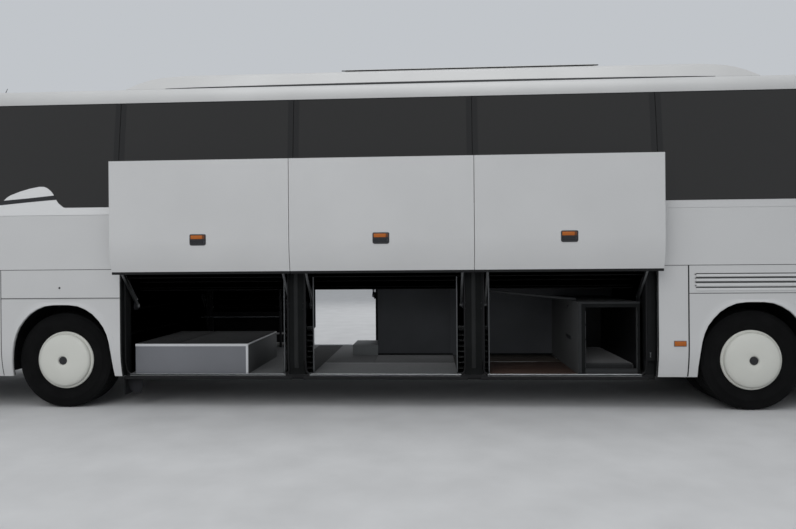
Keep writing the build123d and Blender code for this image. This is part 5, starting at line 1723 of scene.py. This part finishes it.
@dataclass
class RearEnd:
    """The lamps, borders, lid fittings and bumper details of the rear."""

    nodes: dict[str, bpy.types.Object]

    def build(self) -> None:
        """Build what is fixed, then what rides on the engine lid."""
        skin = Skin(self.nodes, ("rear_panel", "screens", "bumpers", "lamps", "engine_lid"), 0, -1.0)
        looks = {"bezel": "trim_black", "bowl": "aluminium", "clear": "clear_lens", "amber": "amber_lens",
            "red": "red_lens", "seam": "seal_rubber", "border": "border_glass", "exhaust": "dark_steel"}
        forms = {key: Form() for key in looks}
        for side in (-1, 1):
            skin.ring(forms["bezel"], (*beside(side, 1.076, 1.214), 0.9, 1.45), 0.012, 0.004)
            for z, lens in ((0.975, "clear"), (1.105, "amber"), (1.24, "red"), (1.375, "red")):
                skin.round_lamp(forms, side * 1.145, z, 0.046, lens, 1.0)
            skin.quad(forms["red"], rect(*beside(side, 0.8, 1.0), 0.5, 0.545), (6, 1), 0.006)
            skin.quad(forms["red"], rect(*beside(side, 0.93, 1.03), 3.14, 3.165), (4, 1), 0.006)
        skin.quad(forms["red"], rect(-0.2, 0.2, 3.01, 3.035), (8, 1), 0.006)
        skin.ring(forms["border"], (-0.955, 0.955, 2.122, 2.955), 0.075, SEAM_PROUD)
        skin.ring(forms["seam"], (-0.966, 0.966, 2.112, 2.965), 0.01, 0.003)
        for z in (0.602, 1.8):
            skin.quad(forms["seam"], rect(-1.12, 1.12, z - 0.004, z + 0.004), (24, 1), SEAM_PROUD)
        lens = skin.point(0.0, 3.075)
        forms["bezel"].lathe([(0.0, 0.03), (0.018, 0.029), (0.024, 0.022), (0.026, 0.0)],
            (lens[0] - 0.002, 0.0, 3.075), "x", 24)
        for y in (0.6, 0.7):
            forms["exhaust"].tube([(6.55, y, 0.33), (6.8, y, 0.325), (6.99, y, 0.315), (7.03, y, 0.3)],
                (0.042, 0.042, 0.043, 0.045), 20, False)
        finish_all(forms, looks, "rear_")
        looks = {"plate": "light_trim", "frame": "trim_black", "lock": "black_plastic"}
        lid = {key: Form() for key in looks}
        skin.quad(lid["frame"], rect(-0.31, 0.31, 0.655, 0.815), (8, 3), 0.002)
        skin.quad(lid["plate"], rect(-0.26, 0.26, 0.675, 0.785), (8, 3), 0.006, 0.006)
        for y in (-0.15, 0.15):
            skin.quad(lid["lock"], rect(y - 0.03, y + 0.03, 0.8, 0.812), (2, 1), 0.014, 0.014)
        for y in (-0.62, 0.62):
            lid["lock"].lathe([(0.0, 0.004), (0.01, 0.005), (0.022, 0.007), (0.026, 0.005), (0.027, -0.002)],
                skin.point(y, 0.72), "x", 24)
        finish_all(lid, looks, "lid_", "engine_lid")


@dataclass
class RoofTop:
    """The roof's hatches, seams, the unit on its fairing, the fairing's shadow strip and the aerial."""

    nodes: dict[str, bpy.types.Object]

    def fan(self, forms: dict[str, Form], x: float, y: float, z: float, radius: float = 0.21) -> None:
        """Set one condenser fan into the unit.

        Args:
            forms: the forms for the ring and the guard.
            x: its centre.
            y: its centre.
            z: height of the surface that it stands on.
            radius: radius of its opening.
        """
        forms["ring"].lathe([(radius * 1.12, -0.004), (radius * 1.12, 0.003), (radius * 1.08, 0.0065),
            (radius, 0.0065), (radius * 0.96, -0.002), (0.0, -0.001)], (x, y, z), "z", 40)
        for k in range(5):
            r = radius * (0.18 + 0.18 * k)
            forms["guard"].tube([(x + r * math.cos(t), y + r * math.sin(t), z + 0.0065)
                for t in (math.pi * j / 14 for j in range(29))], 0.0018, 6, False)
        for k in range(8):
            t = math.pi * k / 4
            forms["guard"].tube([(x + radius * f * math.cos(t), y + radius * f * math.sin(t), z + 0.0065)
                for f in (0.1, 1.0)], 0.0022, 6)
        forms["ring"].lathe([(0.0, 0.0085), (radius * 0.16, 0.008), (radius * 0.19, 0.0)], (x, y, z), "z", 24)

    def build(self) -> None:
        """Build it all."""
        skin = Skin(self.nodes, ("roof", "roof_fairing"), 2, -1.0)
        # The hatches and unit wear the roof's darker white, painted shade on these top faces.
        looks = {"ring": "black_plastic", "guard": "dark_steel", "hatch": "roof_paint", "seam": "roof_seam",
            "unit": "roof_paint", "strip": "seal_rubber", "shadow": "seam_grey", "aerial": "black_plastic"}
        forms = {key: Form() for key in looks}
        for s0, s1 in ((-1.3, -0.6), (8.1, 8.8)):
            x0, x1 = at(s0), at(s1)
            z = skin.point(0.5 * (x0 + x1), 0.0)[2]
            forms["hatch"].block((x0, -0.36, z - 0.01), (x1, 0.36, z + 0.04), 0.028, 4)
            forms["seam"].block((x0 - 0.025, -0.385, z - 0.01), (x1 + 0.025, 0.385, z + 0.008), 0.006)
            for y in (-0.26, 0.26):
                forms["hatch"].block((x0 + 0.08, y - 0.012, z + 0.036), (x1 - 0.08, y + 0.012, z + 0.046), 0.005)
        for s in (-1.9, 0.3, 7.75, 9.3, 10.35):
            skin.quad(forms["seam"], rect(at(s) - 0.004, at(s) + 0.004, -1.05, 1.05), (1, 20), SEAM_PROUD)
        top = UNIT_LOW
        forms["unit"].block((at(2.93), -0.56, top), (at(5.74), 0.56, top + 0.0145), 0.01, 3)
        for k in range(4):
            self.fan(forms, at(3.32 + 0.68 * k), 0.0, top + 0.0145)
        for y in (-0.565, 0.565):
            forms["strip"].block((at(2.89), y - 0.006, top - 0.004), (at(5.78), y + 0.006, top + 0.005), 0.002)
            for k in range(24):
                x = at(3.02 + 0.112 * k)
                forms["strip"].block((x, y * 0.9 - 0.035, top + 0.013), (x + 0.012, y * 0.9 + 0.035, top + 0.0165),
                    0.001, 1)
        # A grey sheet along each foot of the fairing: painted shadow where the fairing overhangs the roof.
        for side in (-1, 1):
            rows: list[list[Point]] = [[] for _ in range(4)]
            for k in range(25):
                s = 0.98 + 5.92 * k / 24
                z = STRIP_LOW + 0.006 * math.sin(math.pi * k / 24)
                tall = 0.007 + 0.012 * math.sin(math.pi * min(1.0, k / 24)) ** 0.5
                for row, (y, dz) in enumerate(((0.9055, -0.006), (0.9105, 0.0), (0.9105, tall),
                        (0.9035, tall + 0.004))):
                    rows[row].append((at(s), side * y, z + dz))
            forms["shadow"].sheet(rows)
        base = skin.point(at(-1.262), -0.42)
        forms["strip"].lathe([(0.0, 0.02), (0.012, 0.018), (0.02, 0.008), (0.024, -0.004)], base, "z", 20)
        forms["aerial"].tube([(base[0], base[1], base[2] + 0.012), (at(-1.224), base[1], 3.532),
            (at(-1.171), base[1], 3.639)], (0.005, 0.0042, 0.003), 8)
        finish_all(forms, looks, "roof_")


@dataclass
class Door:
    """The rubber, glass border and handle of one swinging door."""

    name: str
    span: tuple[float, float]
    high: float
    handle: float

    def build(self) -> None:
        """Build what rides on the leaf, with a pane on each face of its glass."""
        flank = Flank(Side.RIGHT)
        rubber, border, grip, pane = Form(), Form(), Form(), Form()
        s0, s1 = self.span[0] + 0.01, self.span[1] - 0.01
        zs = [0.366 + (self.high - 0.37) * k / 26 for k in range(27)]
        for s, inward in ((s0, 1.0), (s1, -1.0)):
            rubber.sheet([[flank.p(s + inward * ds, z, proud) for z in zs]
                for ds, proud in ((0.0005, -0.01), (0.0005, 0.0), (0.003, 0.0026), (0.011, 0.0026), (0.014, 0.0002))])
        for z, up in ((0.366, 1.0), (self.high - 0.004, -1.0)):
            flank.strip(rubber, spread(s0, s1, 6), z, [(up * dz, proud)
                for dz, proud in ((0.0, -0.006), (0.0, 0.0005), (0.003, 0.0026), (0.012, 0.0026), (0.015, 0.0002))])
        a, b, low, top = s0 + 0.09, s1 - 0.09, 1.35, self.high - 0.11
        mid, across = spread(low, top, 14), spread(a, b, 6)
        bead = ((-0.005, 0.0003), (-0.003, 0.002), (0.003, 0.002), (0.005, 0.0003))
        for x0, x1 in ((a - 0.004, a + 0.05), (b - 0.05, b + 0.004)):
            border.sheet([[flank.p(x, z, SEAM_PROUD) for z in mid] for x in (x0, x1)])
        for z0, z1 in ((low - 0.003, low + 0.045), (top - 0.045, top + 0.003)):
            border.sheet([[flank.p(s, z, SEAM_PROUD) for s in across] for z in (z0, z1)])
        for s in (a - 0.006, b + 0.006):
            rubber.sheet([[flank.p(s + ds, z, proud) for z in mid] for ds, proud in bead])
        for z in (low - 0.006, top + 0.006):
            flank.strip(rubber, across, z, bead)
        x, y = at(self.handle), skin_y(1.05)
        grip.block((x - 0.075, y - 0.004, 1.02), (x + 0.075, y + 0.0035, 1.1), 0.003, 3)
        grip.block((x - 0.06, y + 0.001, 1.05), (x + 0.06, y + 0.0115, 1.078), 0.005, 3)
        grip.lathe([(0.0, 0.006), (0.008, 0.0055), (0.01, 0.0)], (x + 0.045, y, 1.036), "y", 16)
        for proud in (0.0005, -0.0212):
            pane.sheet([[flank.p(s, z, proud) for z in mid] for s in across])
        finish_all({"pane": pane, "rubber": rubber, "border": border, "handle": grip},
            {"pane": "side_tint", "rubber": "seal_rubber", "border": "border_glass", "handle": "trim_black"},
            f"{self.name}_", self.name)


@dataclass
class Mirrors:
    """The glass and trims of the two mirror heads."""

    nodes: dict[str, bpy.types.Object]

    def build(self) -> None:
        """Lay the mirror glass on the rear face of each head."""
        skin = Skin(self.nodes, ("mirrors",), 0, -1.0)
        glass, rim = Form(), Form()
        for side in (-1, 1):
            low, high = beside(side, 1.308, 1.472)
            skin.quad(glass, rect(low, high, 2.59, 3.04), (3, 6), 0.0035)
            skin.quad(glass, rect(low, high, 2.31, 2.56), (3, 4), 0.0035)
            skin.ring(rim, (low - 0.008, high + 0.008, 2.3, 3.05), 0.009, 0.006)
            skin.quad(rim, rect(low, high, 2.561, 2.589), (3, 1), 0.006)
        glass.done("mirror_glass", "mirror_face")
        rim.done("mirror_rims", "trim_black")


@dataclass
class Ends:
    """The front, rear, roof, doors and mirrors."""

    nodes: dict[str, bpy.types.Object]

    def build(self) -> None:
        """Build each of them."""
        FrontEnd(self.nodes).build()
        RearEnd(self.nodes).build()
        RoofTop(self.nodes).build()
        Mirrors(self.nodes).build()
        Door("front_door", FRONT_DOOR, 2.98, -1.235).build()
        Door("mid_door", MID_DOOR, 2.62, 3.345).build()


# Saloon, cab and underside


@dataclass
class Upholstery:
    """Makes sewn cushions: a rounded block, swollen by a cloth simulation, then drawn in along its channels."""

    voxel: float = 0.011
    cap: float = 0.012
    pressure: float = 4.0

    def swell(self, form: Form) -> bpy.types.Mesh:
        """Remesh a form, blow it up a little as cloth and cap how far it moves.

        Args:
            form: the closed form to swell.

        Returns:
            The swollen mesh.
        """
        mesh = bpy.data.meshes.new("pad_start")
        form.bm.to_mesh(mesh)
        form.bm.free()
        obj = bpy.data.objects.new("pad_start", mesh)
        bpy.context.scene.collection.objects.link(obj)
        remesh = obj.modifiers.new("voxels", "REMESH")
        remesh.mode, remesh.voxel_size = "VOXEL", self.voxel
        start = self.evaluated(obj)
        obj.modifiers.clear()
        obj.data = start
        before = [vert.co.copy() for vert in start.vertices]
        cloth = obj.modifiers.new("cloth", "CLOTH")
        cloth.settings.use_pressure = True
        cloth.settings.uniform_pressure_force = self.pressure
        cloth.settings.effector_weights.gravity = 0.0
        cloth.point_cache.frame_start, cloth.point_cache.frame_end = 1, 20
        for step in range(1, 21):
            bpy.context.scene.frame_set(step)
        start = self.evaluated(obj)
        bpy.context.scene.frame_set(1)
        for vert, home in zip(start.vertices, before):
            move = vert.co - home
            if move.length > self.cap:
                vert.co = home + move * (self.cap / move.length)
        bpy.data.objects.remove(obj)
        return start

    @staticmethod
    def evaluated(obj: bpy.types.Object) -> bpy.types.Mesh:
        """A plain mesh of the object with its modifiers applied."""
        graph = bpy.context.evaluated_depsgraph_get()
        return bpy.data.meshes.new_from_object(obj.evaluated_get(graph))

    def sew(self, mesh: bpy.types.Mesh, axis: int, lines: Sequence[float], depth_axis: int, depth: float = 0.009,
            width: float = 0.012) -> None:
        """Draw the surface in along some lines.

        Args:
            mesh: the cushion.
            axis: the axis that the lines are measured along.
            lines: where they are.
            depth_axis: the axis that the surface is drawn in along.
            depth: how deep the channels are.
            width: their half width.
        """
        middle = sum(v.co[depth_axis] for v in mesh.vertices) / len(mesh.vertices)
        for vert in mesh.vertices:
            for line in lines:
                off = abs(vert.co[axis] - line)
                if off < 2.2 * width:
                    pull = depth * math.exp(-(off / width) ** 2)
                    vert.co[depth_axis] += -pull if vert.co[depth_axis] > middle else pull

    def thin(self, mesh: bpy.types.Mesh, share: float) -> bpy.types.Mesh:
        """Reduce a mesh to a share of its faces."""
        obj = bpy.data.objects.new("pad_thin", mesh)
        bpy.context.scene.collection.objects.link(obj)
        less = obj.modifiers.new("less", "DECIMATE")
        less.ratio = share
        out = self.evaluated(obj)
        bpy.data.objects.remove(obj)
        return out


@dataclass
class Saloon:
    """The passenger seats in pairs, the racks above them and the aisle carpet."""

    rows: int = 13
    first: float = -0.8
    pitch: float = 0.86
    gap: tuple[float, float] = (2.7, 4.5)

    def places(self) -> list[tuple[float, float]]:
        """Station and Y of the middle of every seat."""
        out = []
        for k in range(self.rows):
            s = self.first + self.pitch * k
            for y in (0.49, 0.93):
                out.append((s, -y))
                if not self.gap[0] < s < self.gap[1]:
                    out.append((s, y))
        return out

    def pads(self) -> tuple[bpy.types.Mesh, bpy.types.Mesh]:
        """The cushion and the back of one seat, about the seat's own middle and at their real height."""
        kit = Upholstery()
        cushion = kit.swell(Form().block((-0.225, -0.198, 1.832), (0.205, 0.198, 1.928), 0.035, 4))
        kit.sew(cushion, 0, (-0.09, 0.06), 2)
        kit.sew(cushion, 1, (-0.125, 0.125), 2, 0.006, 0.009)
        back = kit.swell(Form().block((0.228, -0.196, 1.9), (0.318, 0.196, 2.598), 0.04, 4))
        kit.sew(back, 2, (2.05, 2.2, 2.38), 0)
        kit.sew(back, 1, (-0.125, 0.125), 0, 0.006, 0.009)
        return kit.thin(cushion, 0.1), kit.thin(back, 0.1)

    def seats(self) -> None:
        """Set out every seat: soft pads, plastic back, headrest cloth, armrests and legs."""
        cushion, back = self.pads()
        soft, shell, metal, cloth = Form(), Form(), Form(), Form()
        blocks = ((shell, -0.215, 0.235, -0.195, 0.195, 1.79, 1.832, 0.012),
            (shell, 0.333, 0.343, -0.15, 0.15, 2.02, 2.22, 0.006),
            (metal, -0.02, 0.06, -0.018, 0.018, 1.502, 1.792, 0.008),
            (metal, -0.18, 0.2, -0.022, 0.022, 1.501, 1.522, 0.006))
        for s, y in self.places():
            x = at(s)
            for mesh in (cushion, back):
                part = bmesh.new()
                part.from_mesh(mesh)
                bmesh.ops.translate(part, vec=(x, y, 0.0), verts=part.verts)
                soft.take(part)
            shell.sheet([[(x + depth - 0.05 * abs(u) ** 6, y + 0.2 * u, z)
                for u in (-1.0, -0.93, -0.6, 0.0, 0.6, 0.93, 1.0)] for z, depth in ((1.9, 0.33), (2.0, 0.337),
                (2.4, 0.338), (2.56, 0.33), (2.6, 0.316))], 0.003)
            for form, x0, x1, y0, y1, z0, z1, radius in blocks:
                form.block((x + x0, y + y0, z0), (x + x1, y + y1, z1), radius)
            inner = y - math.copysign(0.214, y)
            shell.block((x - 0.1, inner - 0.02, 2.035), (x + 0.235, inner + 0.02, 2.07), 0.014, 3)
            cloth.sheet([[(x + depth, y + 0.15 * u, z) for u in (-1.0, -0.5, 0.0, 0.5, 1.0)]
                for depth, z in ((0.212, 2.36), (0.211, 2.5), (0.222, 2.585), (0.27, 2.612), (0.322, 2.59),
                (0.342, 2.5))], 0.001)
        pads = soft.done("saloon_pads", "cabin_cloth", smooth=60.0)
        for piece in (pads, shell.done("saloon_seat_backs", "black_plastic"),
                metal.done("saloon_seat_legs", "dark_steel"), cloth.done("head_covers", "head_cloth", smooth=60.0)):
            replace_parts(piece, "seats")

    def fittings(self) -> None:
        """Hang the racks with their dividers and the reading lamps, and lay the aisle carpet."""
        rack, light, carpet = Form(), Form(), Form()
        for side in (-1, 1):
            shape = [(side * y, z) for y, z in ((0.7, 2.8), (0.72, 2.775), (0.8, 2.765), (1.1, 2.79), (1.135, 2.81),
                (1.12, 2.82), (0.8, 2.79), (0.735, 2.8), (0.735, 2.87), (0.7, 2.87))]
            rack.prism(shape, at(-1.1), at(10.6), "x")
            for k in range(14):
                x = at(-1.05 + 0.89 * k)
                rack.prism([(side * 0.8, 2.79), (side * 1.12, 2.81), (side * 1.1, 3.12), (side * 0.98, 3.12)], x,
                    x + 0.012, "x")
            for k in range(13):
                x = at(-0.75 + 0.86 * k)
                light.block((x - 0.09, side * 0.83 - 0.035, 2.755), (x + 0.09, side * 0.83 + 0.035, 2.768), 0.004)
        carpet.sheet([[(at(s), y, z) for y, z in ((-0.205, 1.5015), (-0.2, 1.506), (0.2, 1.506), (0.205, 1.5015))]
            for s in spread(-1.25, 10.65, 60)])
        rack.done("racks", "berth_panel")
        light.done("reading_lamps", "lamp_opal")
        carpet.done("aisle_carpet", "head_cloth")

    def build(self) -> None:
        """Build the saloon."""
        self.seats()
        self.fittings()


@dataclass
class Cab:
    """The driver's seat, the dashboard's fittings and the steering column."""

    station: float = -1.64
    seat_y: float = -0.6
    wheel: Point = (AXLE_1 - 2.08, -0.6, 1.56)
    rake: float = 25.0
    dash_x: float = -6.235

    def seat(self) -> None:
        """Build the driver's seat on its sprung base."""
        kit = Upholstery()
        x, y = at(self.station), self.seat_y
        cushion = kit.swell(Form().block((x - 0.225, y - 0.235, 1.292), (x + 0.205, y + 0.235, 1.388), 0.036, 4))
        kit.sew(cushion, 1, (y - 0.15, y + 0.15), 2)
        kit.sew(cushion, 0, (x - 0.05, x + 0.08), 2, 0.006, 0.009)
        back = kit.swell(Form().block((x + 0.228, y - 0.23, 1.385), (x + 0.322, y + 0.23, 2.06), 0.042, 4))
        kit.sew(back, 2, (1.55, 1.7, 1.87), 0)
        kit.sew(back, 1, (y - 0.15, y + 0.15), 0, 0.007, 0.01)
        soft = Form()
        for mesh in (cushion, back):
            part = bmesh.new()
            part.from_mesh(kit.thin(mesh, 0.5))
            soft.take(part)
        pads = soft.done("driver_pads", "cabin_cloth", smooth=60.0)
        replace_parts(pads, "seats")
        base = Form()
        for k in range(7):
            z = 0.94 + 0.045 * k
            grow = 0.01 if k % 2 else 0.0
            base.block((x - 0.17 - grow, y - 0.17 - grow, z), (x + 0.17 + grow, y + 0.17 + grow, z + 0.046), 0.016, 3)
        for x0, x1, y0, y1, z0, z1, radius in ((-0.2, 0.2, -0.2, 0.2, 0.902, 0.945, 0.01),
                (-0.215, 0.225, -0.225, 0.225, 1.255, 1.294, 0.012), (0.318, 0.338, -0.2, 0.2, 1.4, 2.03, 0.01),
                (-0.05, 0.24, 0.238, 0.248, 1.52, 1.56, 0.004)):
            base.block((x + x0, y + y0, z0), (x + x1, y + y1, z1), radius)
        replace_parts(base.done("driver_seat_base", "black_plastic"), "seats")

    def dash(self) -> None:
        """Fit the binnacle, dials, vents, screen and switches on the dashboard, and the column below the wheel."""
        hood, dial, glow = Form(), Form(), Form()
        x0 = self.dash_x
        hood.prism([(x0 + 0.002, 1.415), (x0 - 0.02, 1.475), (x0 - 0.07, 1.495), (x0 - 0.2, 1.478),
            (x0 - 0.26, 1.418)], -0.88, -0.32, "y", 0.008)
        hood.block((x0 - 0.006, -0.86, 1.2), (x0 + 0.01, -0.34, 1.412), 0.006)
        for y, radius in ((-0.745, 0.062), (-0.6, 0.044), (-0.455, 0.062)):
            dial.lathe([(radius, 0.001), (radius, 0.006), (radius * 0.93, 0.007), (radius * 0.9, 0.003),
                (0.0, 0.003)], (x0 + 0.01, y, 1.325), "x", 32)
            for k in range(9):
                t = math.radians(-35 + 31.25 * k)
                c, s = math.cos(t), math.sin(t)
                glow.tube([(x0 + 0.0145, y + radius * f * c, 1.325 + radius * f * s) for f in (0.7, 0.86)], 0.0012, 5)
            glow.tube([(x0 + 0.0155, y, 1.325), (x0 + 0.0155, y - radius * 0.5, 1.325 + radius * 0.45)], 0.0014, 5)
        hood.block((x0 - 0.004, -0.2, 1.22), (x0 + 0.01, 0.1, 1.4), 0.006)
        glow.block((x0 + 0.006, -0.175, 1.245), (x0 + 0.0115, 0.075, 1.375), 0.002)
        for k in range(8):
            dial.block((x0 - 0.002, -0.19 + 0.036 * k, 1.165), (x0 + 0.01, -0.162 + 0.036 * k, 1.195), 0.004)
        for y in (-1.02, 0.22, 0.5):
            hood.block((x0 - 0.002, y - 0.07, 1.3), (x0 + 0.006, y + 0.07, 1.38), 0.005)
            for k in range(5):
                dial.block((x0 + 0.002, y - 0.062, 1.309 + 0.0145 * k), (x0 + 0.009, y + 0.062, 1.314 + 0.0145 * k),
                    0.001, 1)
        wx, wy, wz = self.wheel
        tilt = math.radians(self.rake)
        down = (-math.sin(tilt), -math.cos(tilt))
        hood.tube([(wx + down[0] * d, wy, wz + down[1] * d) for d in (0.045, 0.12, 0.3, 0.52)],
            (0.042, 0.055, 0.052, 0.075), 20)
        hood.done("dash_covers", "black_plastic")
        dial.done("dash_dials", "trim_black")
        glow.done("dash_marks", "clear_lens")

    def build(self) -> None:
        """Build the cab."""
        self.seat()
        self.dash()


class Underside:
    """What hangs beneath the floors: spray guards, air tanks, drive shaft and bellows."""

    def build(self) -> None:
        """Build it all."""
        tank, shaft, bellows, guard = Form(), Form(), Form(), Form()
        bent = ((0.6325, 0.3), (0.6325, 0.262), (0.665, 0.173), (0.718, 0.136), (0.775, 0.136), (0.8, 0.21),
            (0.8, 0.3))
        for side in (-1, 1):
            guard.prism([(at(s), z) for s, z in bent], side * 1.113, side * 1.119, "y")
        guard.done("spray_guards", "housing_plastic")
        for s, y, length, radius in ((-2.25, -0.72, 0.62, 0.12), (8.95, -0.6, 0.6, 0.12), (8.95, 0.6, 0.6, 0.12)):
            x = at(s)
            tank.lathe([(0.0, 0.0), (radius * 0.6, 0.008), (radius * 0.92, 0.03), (radius, 0.06),
                (radius, length - 0.06), (radius * 0.92, length - 0.03), (radius * 0.6, length - 0.008),
                (0.0, length)], (x, y, 0.52), "x", 28)
            for d in (0.15, length - 0.17):
                tank.lathe([(radius + 0.001, 0.0), (radius + 0.005, 0.002), (radius + 0.005, 0.028),
                    (radius + 0.001, 0.03)], (x + d, y, 0.52), "x", 28)
        shaft.tube([(AXLE_2 + 0.2, 0.0, 0.53), (AXLE_2 + 0.34, 0.0, 0.55), (AXLE_2 + 2.1, 0.0, 0.66)],
            (0.062, 0.045, 0.045), 20)
        for axle in (AXLE_1, AXLE_2, AXLE_3):
            for y in (-0.45, 0.45):
                rings = []
                for k in range(4):
                    z = 0.594 + 0.0115 * k
                    rings += [(0.097, z), (0.108, z + 0.003), (0.108, z + 0.0075), (0.097, z + 0.0105)]
                bellows.lathe(rings, (axle, y, 0.0), "z", 28)
        tank.done("air_tanks", "dark_steel")
        shaft.done("drive_shaft", "dark_steel")
        bellows.done("air_bellows", "tyre_rubber")


# The whole


@dataclass
class Dressing:
    """Materials for the CAD nodes that stay in view."""

    nodes: dict[str, bpy.types.Object]
    wear: dict[str, str] = field(default_factory=lambda: {"side_panels": "white_paint", "roof": "roof_paint",
        "window_frame": "trim_black", "saloon_floor": "grey_paint", "luggage_floor": "bay_carpet",
        "chassis": "chassis_paint", "bay_frame": "frame_paint", "bay_fittings": "arm_steel",
        "stair_housing": "bay_wall", "sleeping_cabin": "berth_panel", "skirt_panels": "white_paint",
        "side_glass": "side_tint", "screens": "side_tint", "front_panel": "white_paint", "lamps": "clear_lens",
        "bumpers": "white_paint", "rear_panel": "white_paint", "roof_fairing": "roof_paint",
        "wheel_housings": "housing_plastic", "mirrors": "black_plastic", "wipers": "black_plastic",
        "dashboard": "black_plastic", "steering_wheel": "black_plastic", "seats": "cabin_cloth",
        "engine": "dark_steel", "engine_lid": "white_paint", "axles": "chassis_paint"})

    def dress(self) -> None:
        """Give each CAD node its material."""
        for name, obj in self.nodes.items():
            finish = self.wear.get(name) or self.by_kind(name)
            obj.data.materials.clear()
            obj.data.materials.append(Finishes.mixed[finish])
            LOG.info("%s wears %s", name, finish)

    @staticmethod
    def by_kind(name: str) -> str:
        """The finish of a moving node, from its name."""
        for part, finish in (("knuckle", "chassis_paint"), ("arms", "arm_steel"), ("wheel", "tyre_rubber"),
                ("flap", "flap_paint"), ("door", "white_paint")):
            if part in name:
                return finish
        return "white_paint"


@dataclass
class Studio:
    """The photograph's camera, the pale floor and soft light."""

    place: Point = (-0.2375, -7.5186, 1.4975)
    lens: float = 27.654
    yaw: float = 2.961
    pitch: float = 0.032
    roll: float = 0.448

    def camera(self) -> None:
        """Set up the camera."""
        data = bpy.data.cameras.new("photo_camera")
        data.lens, data.sensor_width, data.sensor_fit = self.lens, 36.0, "HORIZONTAL"
        data.clip_end = 200.0
        obj = bpy.data.objects.new("photo_camera", data)
        bpy.context.scene.collection.objects.link(obj)
        obj.matrix_world = (Matrix.Translation(self.place) @ Matrix.Rotation(math.radians(self.yaw), 4, "Z")
            @ Matrix.Rotation(math.radians(90 - self.pitch), 4, "X")
            @ Matrix.Rotation(math.radians(-self.roll), 4, "Z"))
        bpy.context.scene.camera = obj

    def floor(self) -> None:
        """Lay the pale floor."""
        n = Nodes("pale_floor")
        cloud = n.noise(2.2, 6.0)
        tint = n.ramp(cloud, ((0.3, (0.5, 0.5, 0.5)), (0.7, (0.56, 0.56, 0.56))))
        seen = n.add("ShaderNodeBsdfPrincipled", roughness=0.85)
        n.link(tint, "Color", seen, "Base Color")
        mesh = bpy.data.meshes.new("floor")
        size = 60.0
        mesh.from_pydata([(-size, -size, 0), (size, -size, 0), (size, size, 0), (-size, size, 0)], [], [(0, 1, 2, 3)])
        floor = bpy.data.objects.new("floor", mesh)
        mesh.materials.append(n.finish(seen))
        bpy.context.scene.collection.objects.link(floor)
        floor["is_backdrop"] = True

    def light(self) -> None:
        """Hang large soft lamps and set the world's glow."""
        world = bpy.data.worlds.new("studio_air")
        world.use_nodes = True
        tree = world.node_tree
        back = tree.nodes["Background"]
        back.inputs["Color"].default_value = (0.86, 0.9, 0.95, 1)
        back.inputs["Strength"].default_value = 0.62
        bpy.context.scene.world = world
        for name, place, aim, size, power in (("roof_lamp", (0.0, -2.5, 13.0), (0.0, -0.5, 1.2), 13.0, 620.0),
                ("key_lamp", (-4.0, -13.0, 8.0), (0.0, 0.0, 1.2), 10.0, 455.0),
                ("far_lamp", (0.0, 13.0, 9.0), (0.0, 0.0, 1.4), 10.0, 420.0)):
            lamp = bpy.data.lights.new(name, "AREA")
            lamp.shape, lamp.size, lamp.energy = "DISK", size, power
            obj = bpy.data.objects.new(name, lamp)
            bpy.context.scene.collection.objects.link(obj)
            obj.location = place
            obj.rotation_euler = (Vector(aim) - Vector(place)).to_track_quat("-Z", "Y").to_euler()
            obj.visible_glossy = name == "roof_lamp"

    def build(self) -> None:
        """Set up everything around the coach."""
        self.camera()
        self.floor()
        self.light()
        bpy.context.scene.view_settings.view_transform = "Standard"


def corners(box: tuple[Vector, Vector]) -> list[list[float]]:
    """A box's two corners as plain lists."""
    return [[float(v) for v in corner] for corner in box]


class Assembly(Protocol):
    """Anything that builds its own pieces."""

    def build(self) -> None:
        """Build them."""


def main() -> None:
    """Build the surroundings, then each sub-assembly in turn."""
    logging.basicConfig(level=logging.INFO, format="%(name)s: %(message)s")
    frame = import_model()
    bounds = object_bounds()
    Studio().build()
    Finishes.mix()
    Dressing(frame["nodes"]).dress()
    assemblies: tuple[Assembly, ...] = (Wheels(), Flaps(), Bays(), Flanks(), Ends(frame["nodes"]), Saloon(), Cab(),
        Underside())
    for assembly in assemblies:
        assembly.build()
    {"cad": corners(bounds), "visual": corners(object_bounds())}


if __name__ == "__main__":
    main()
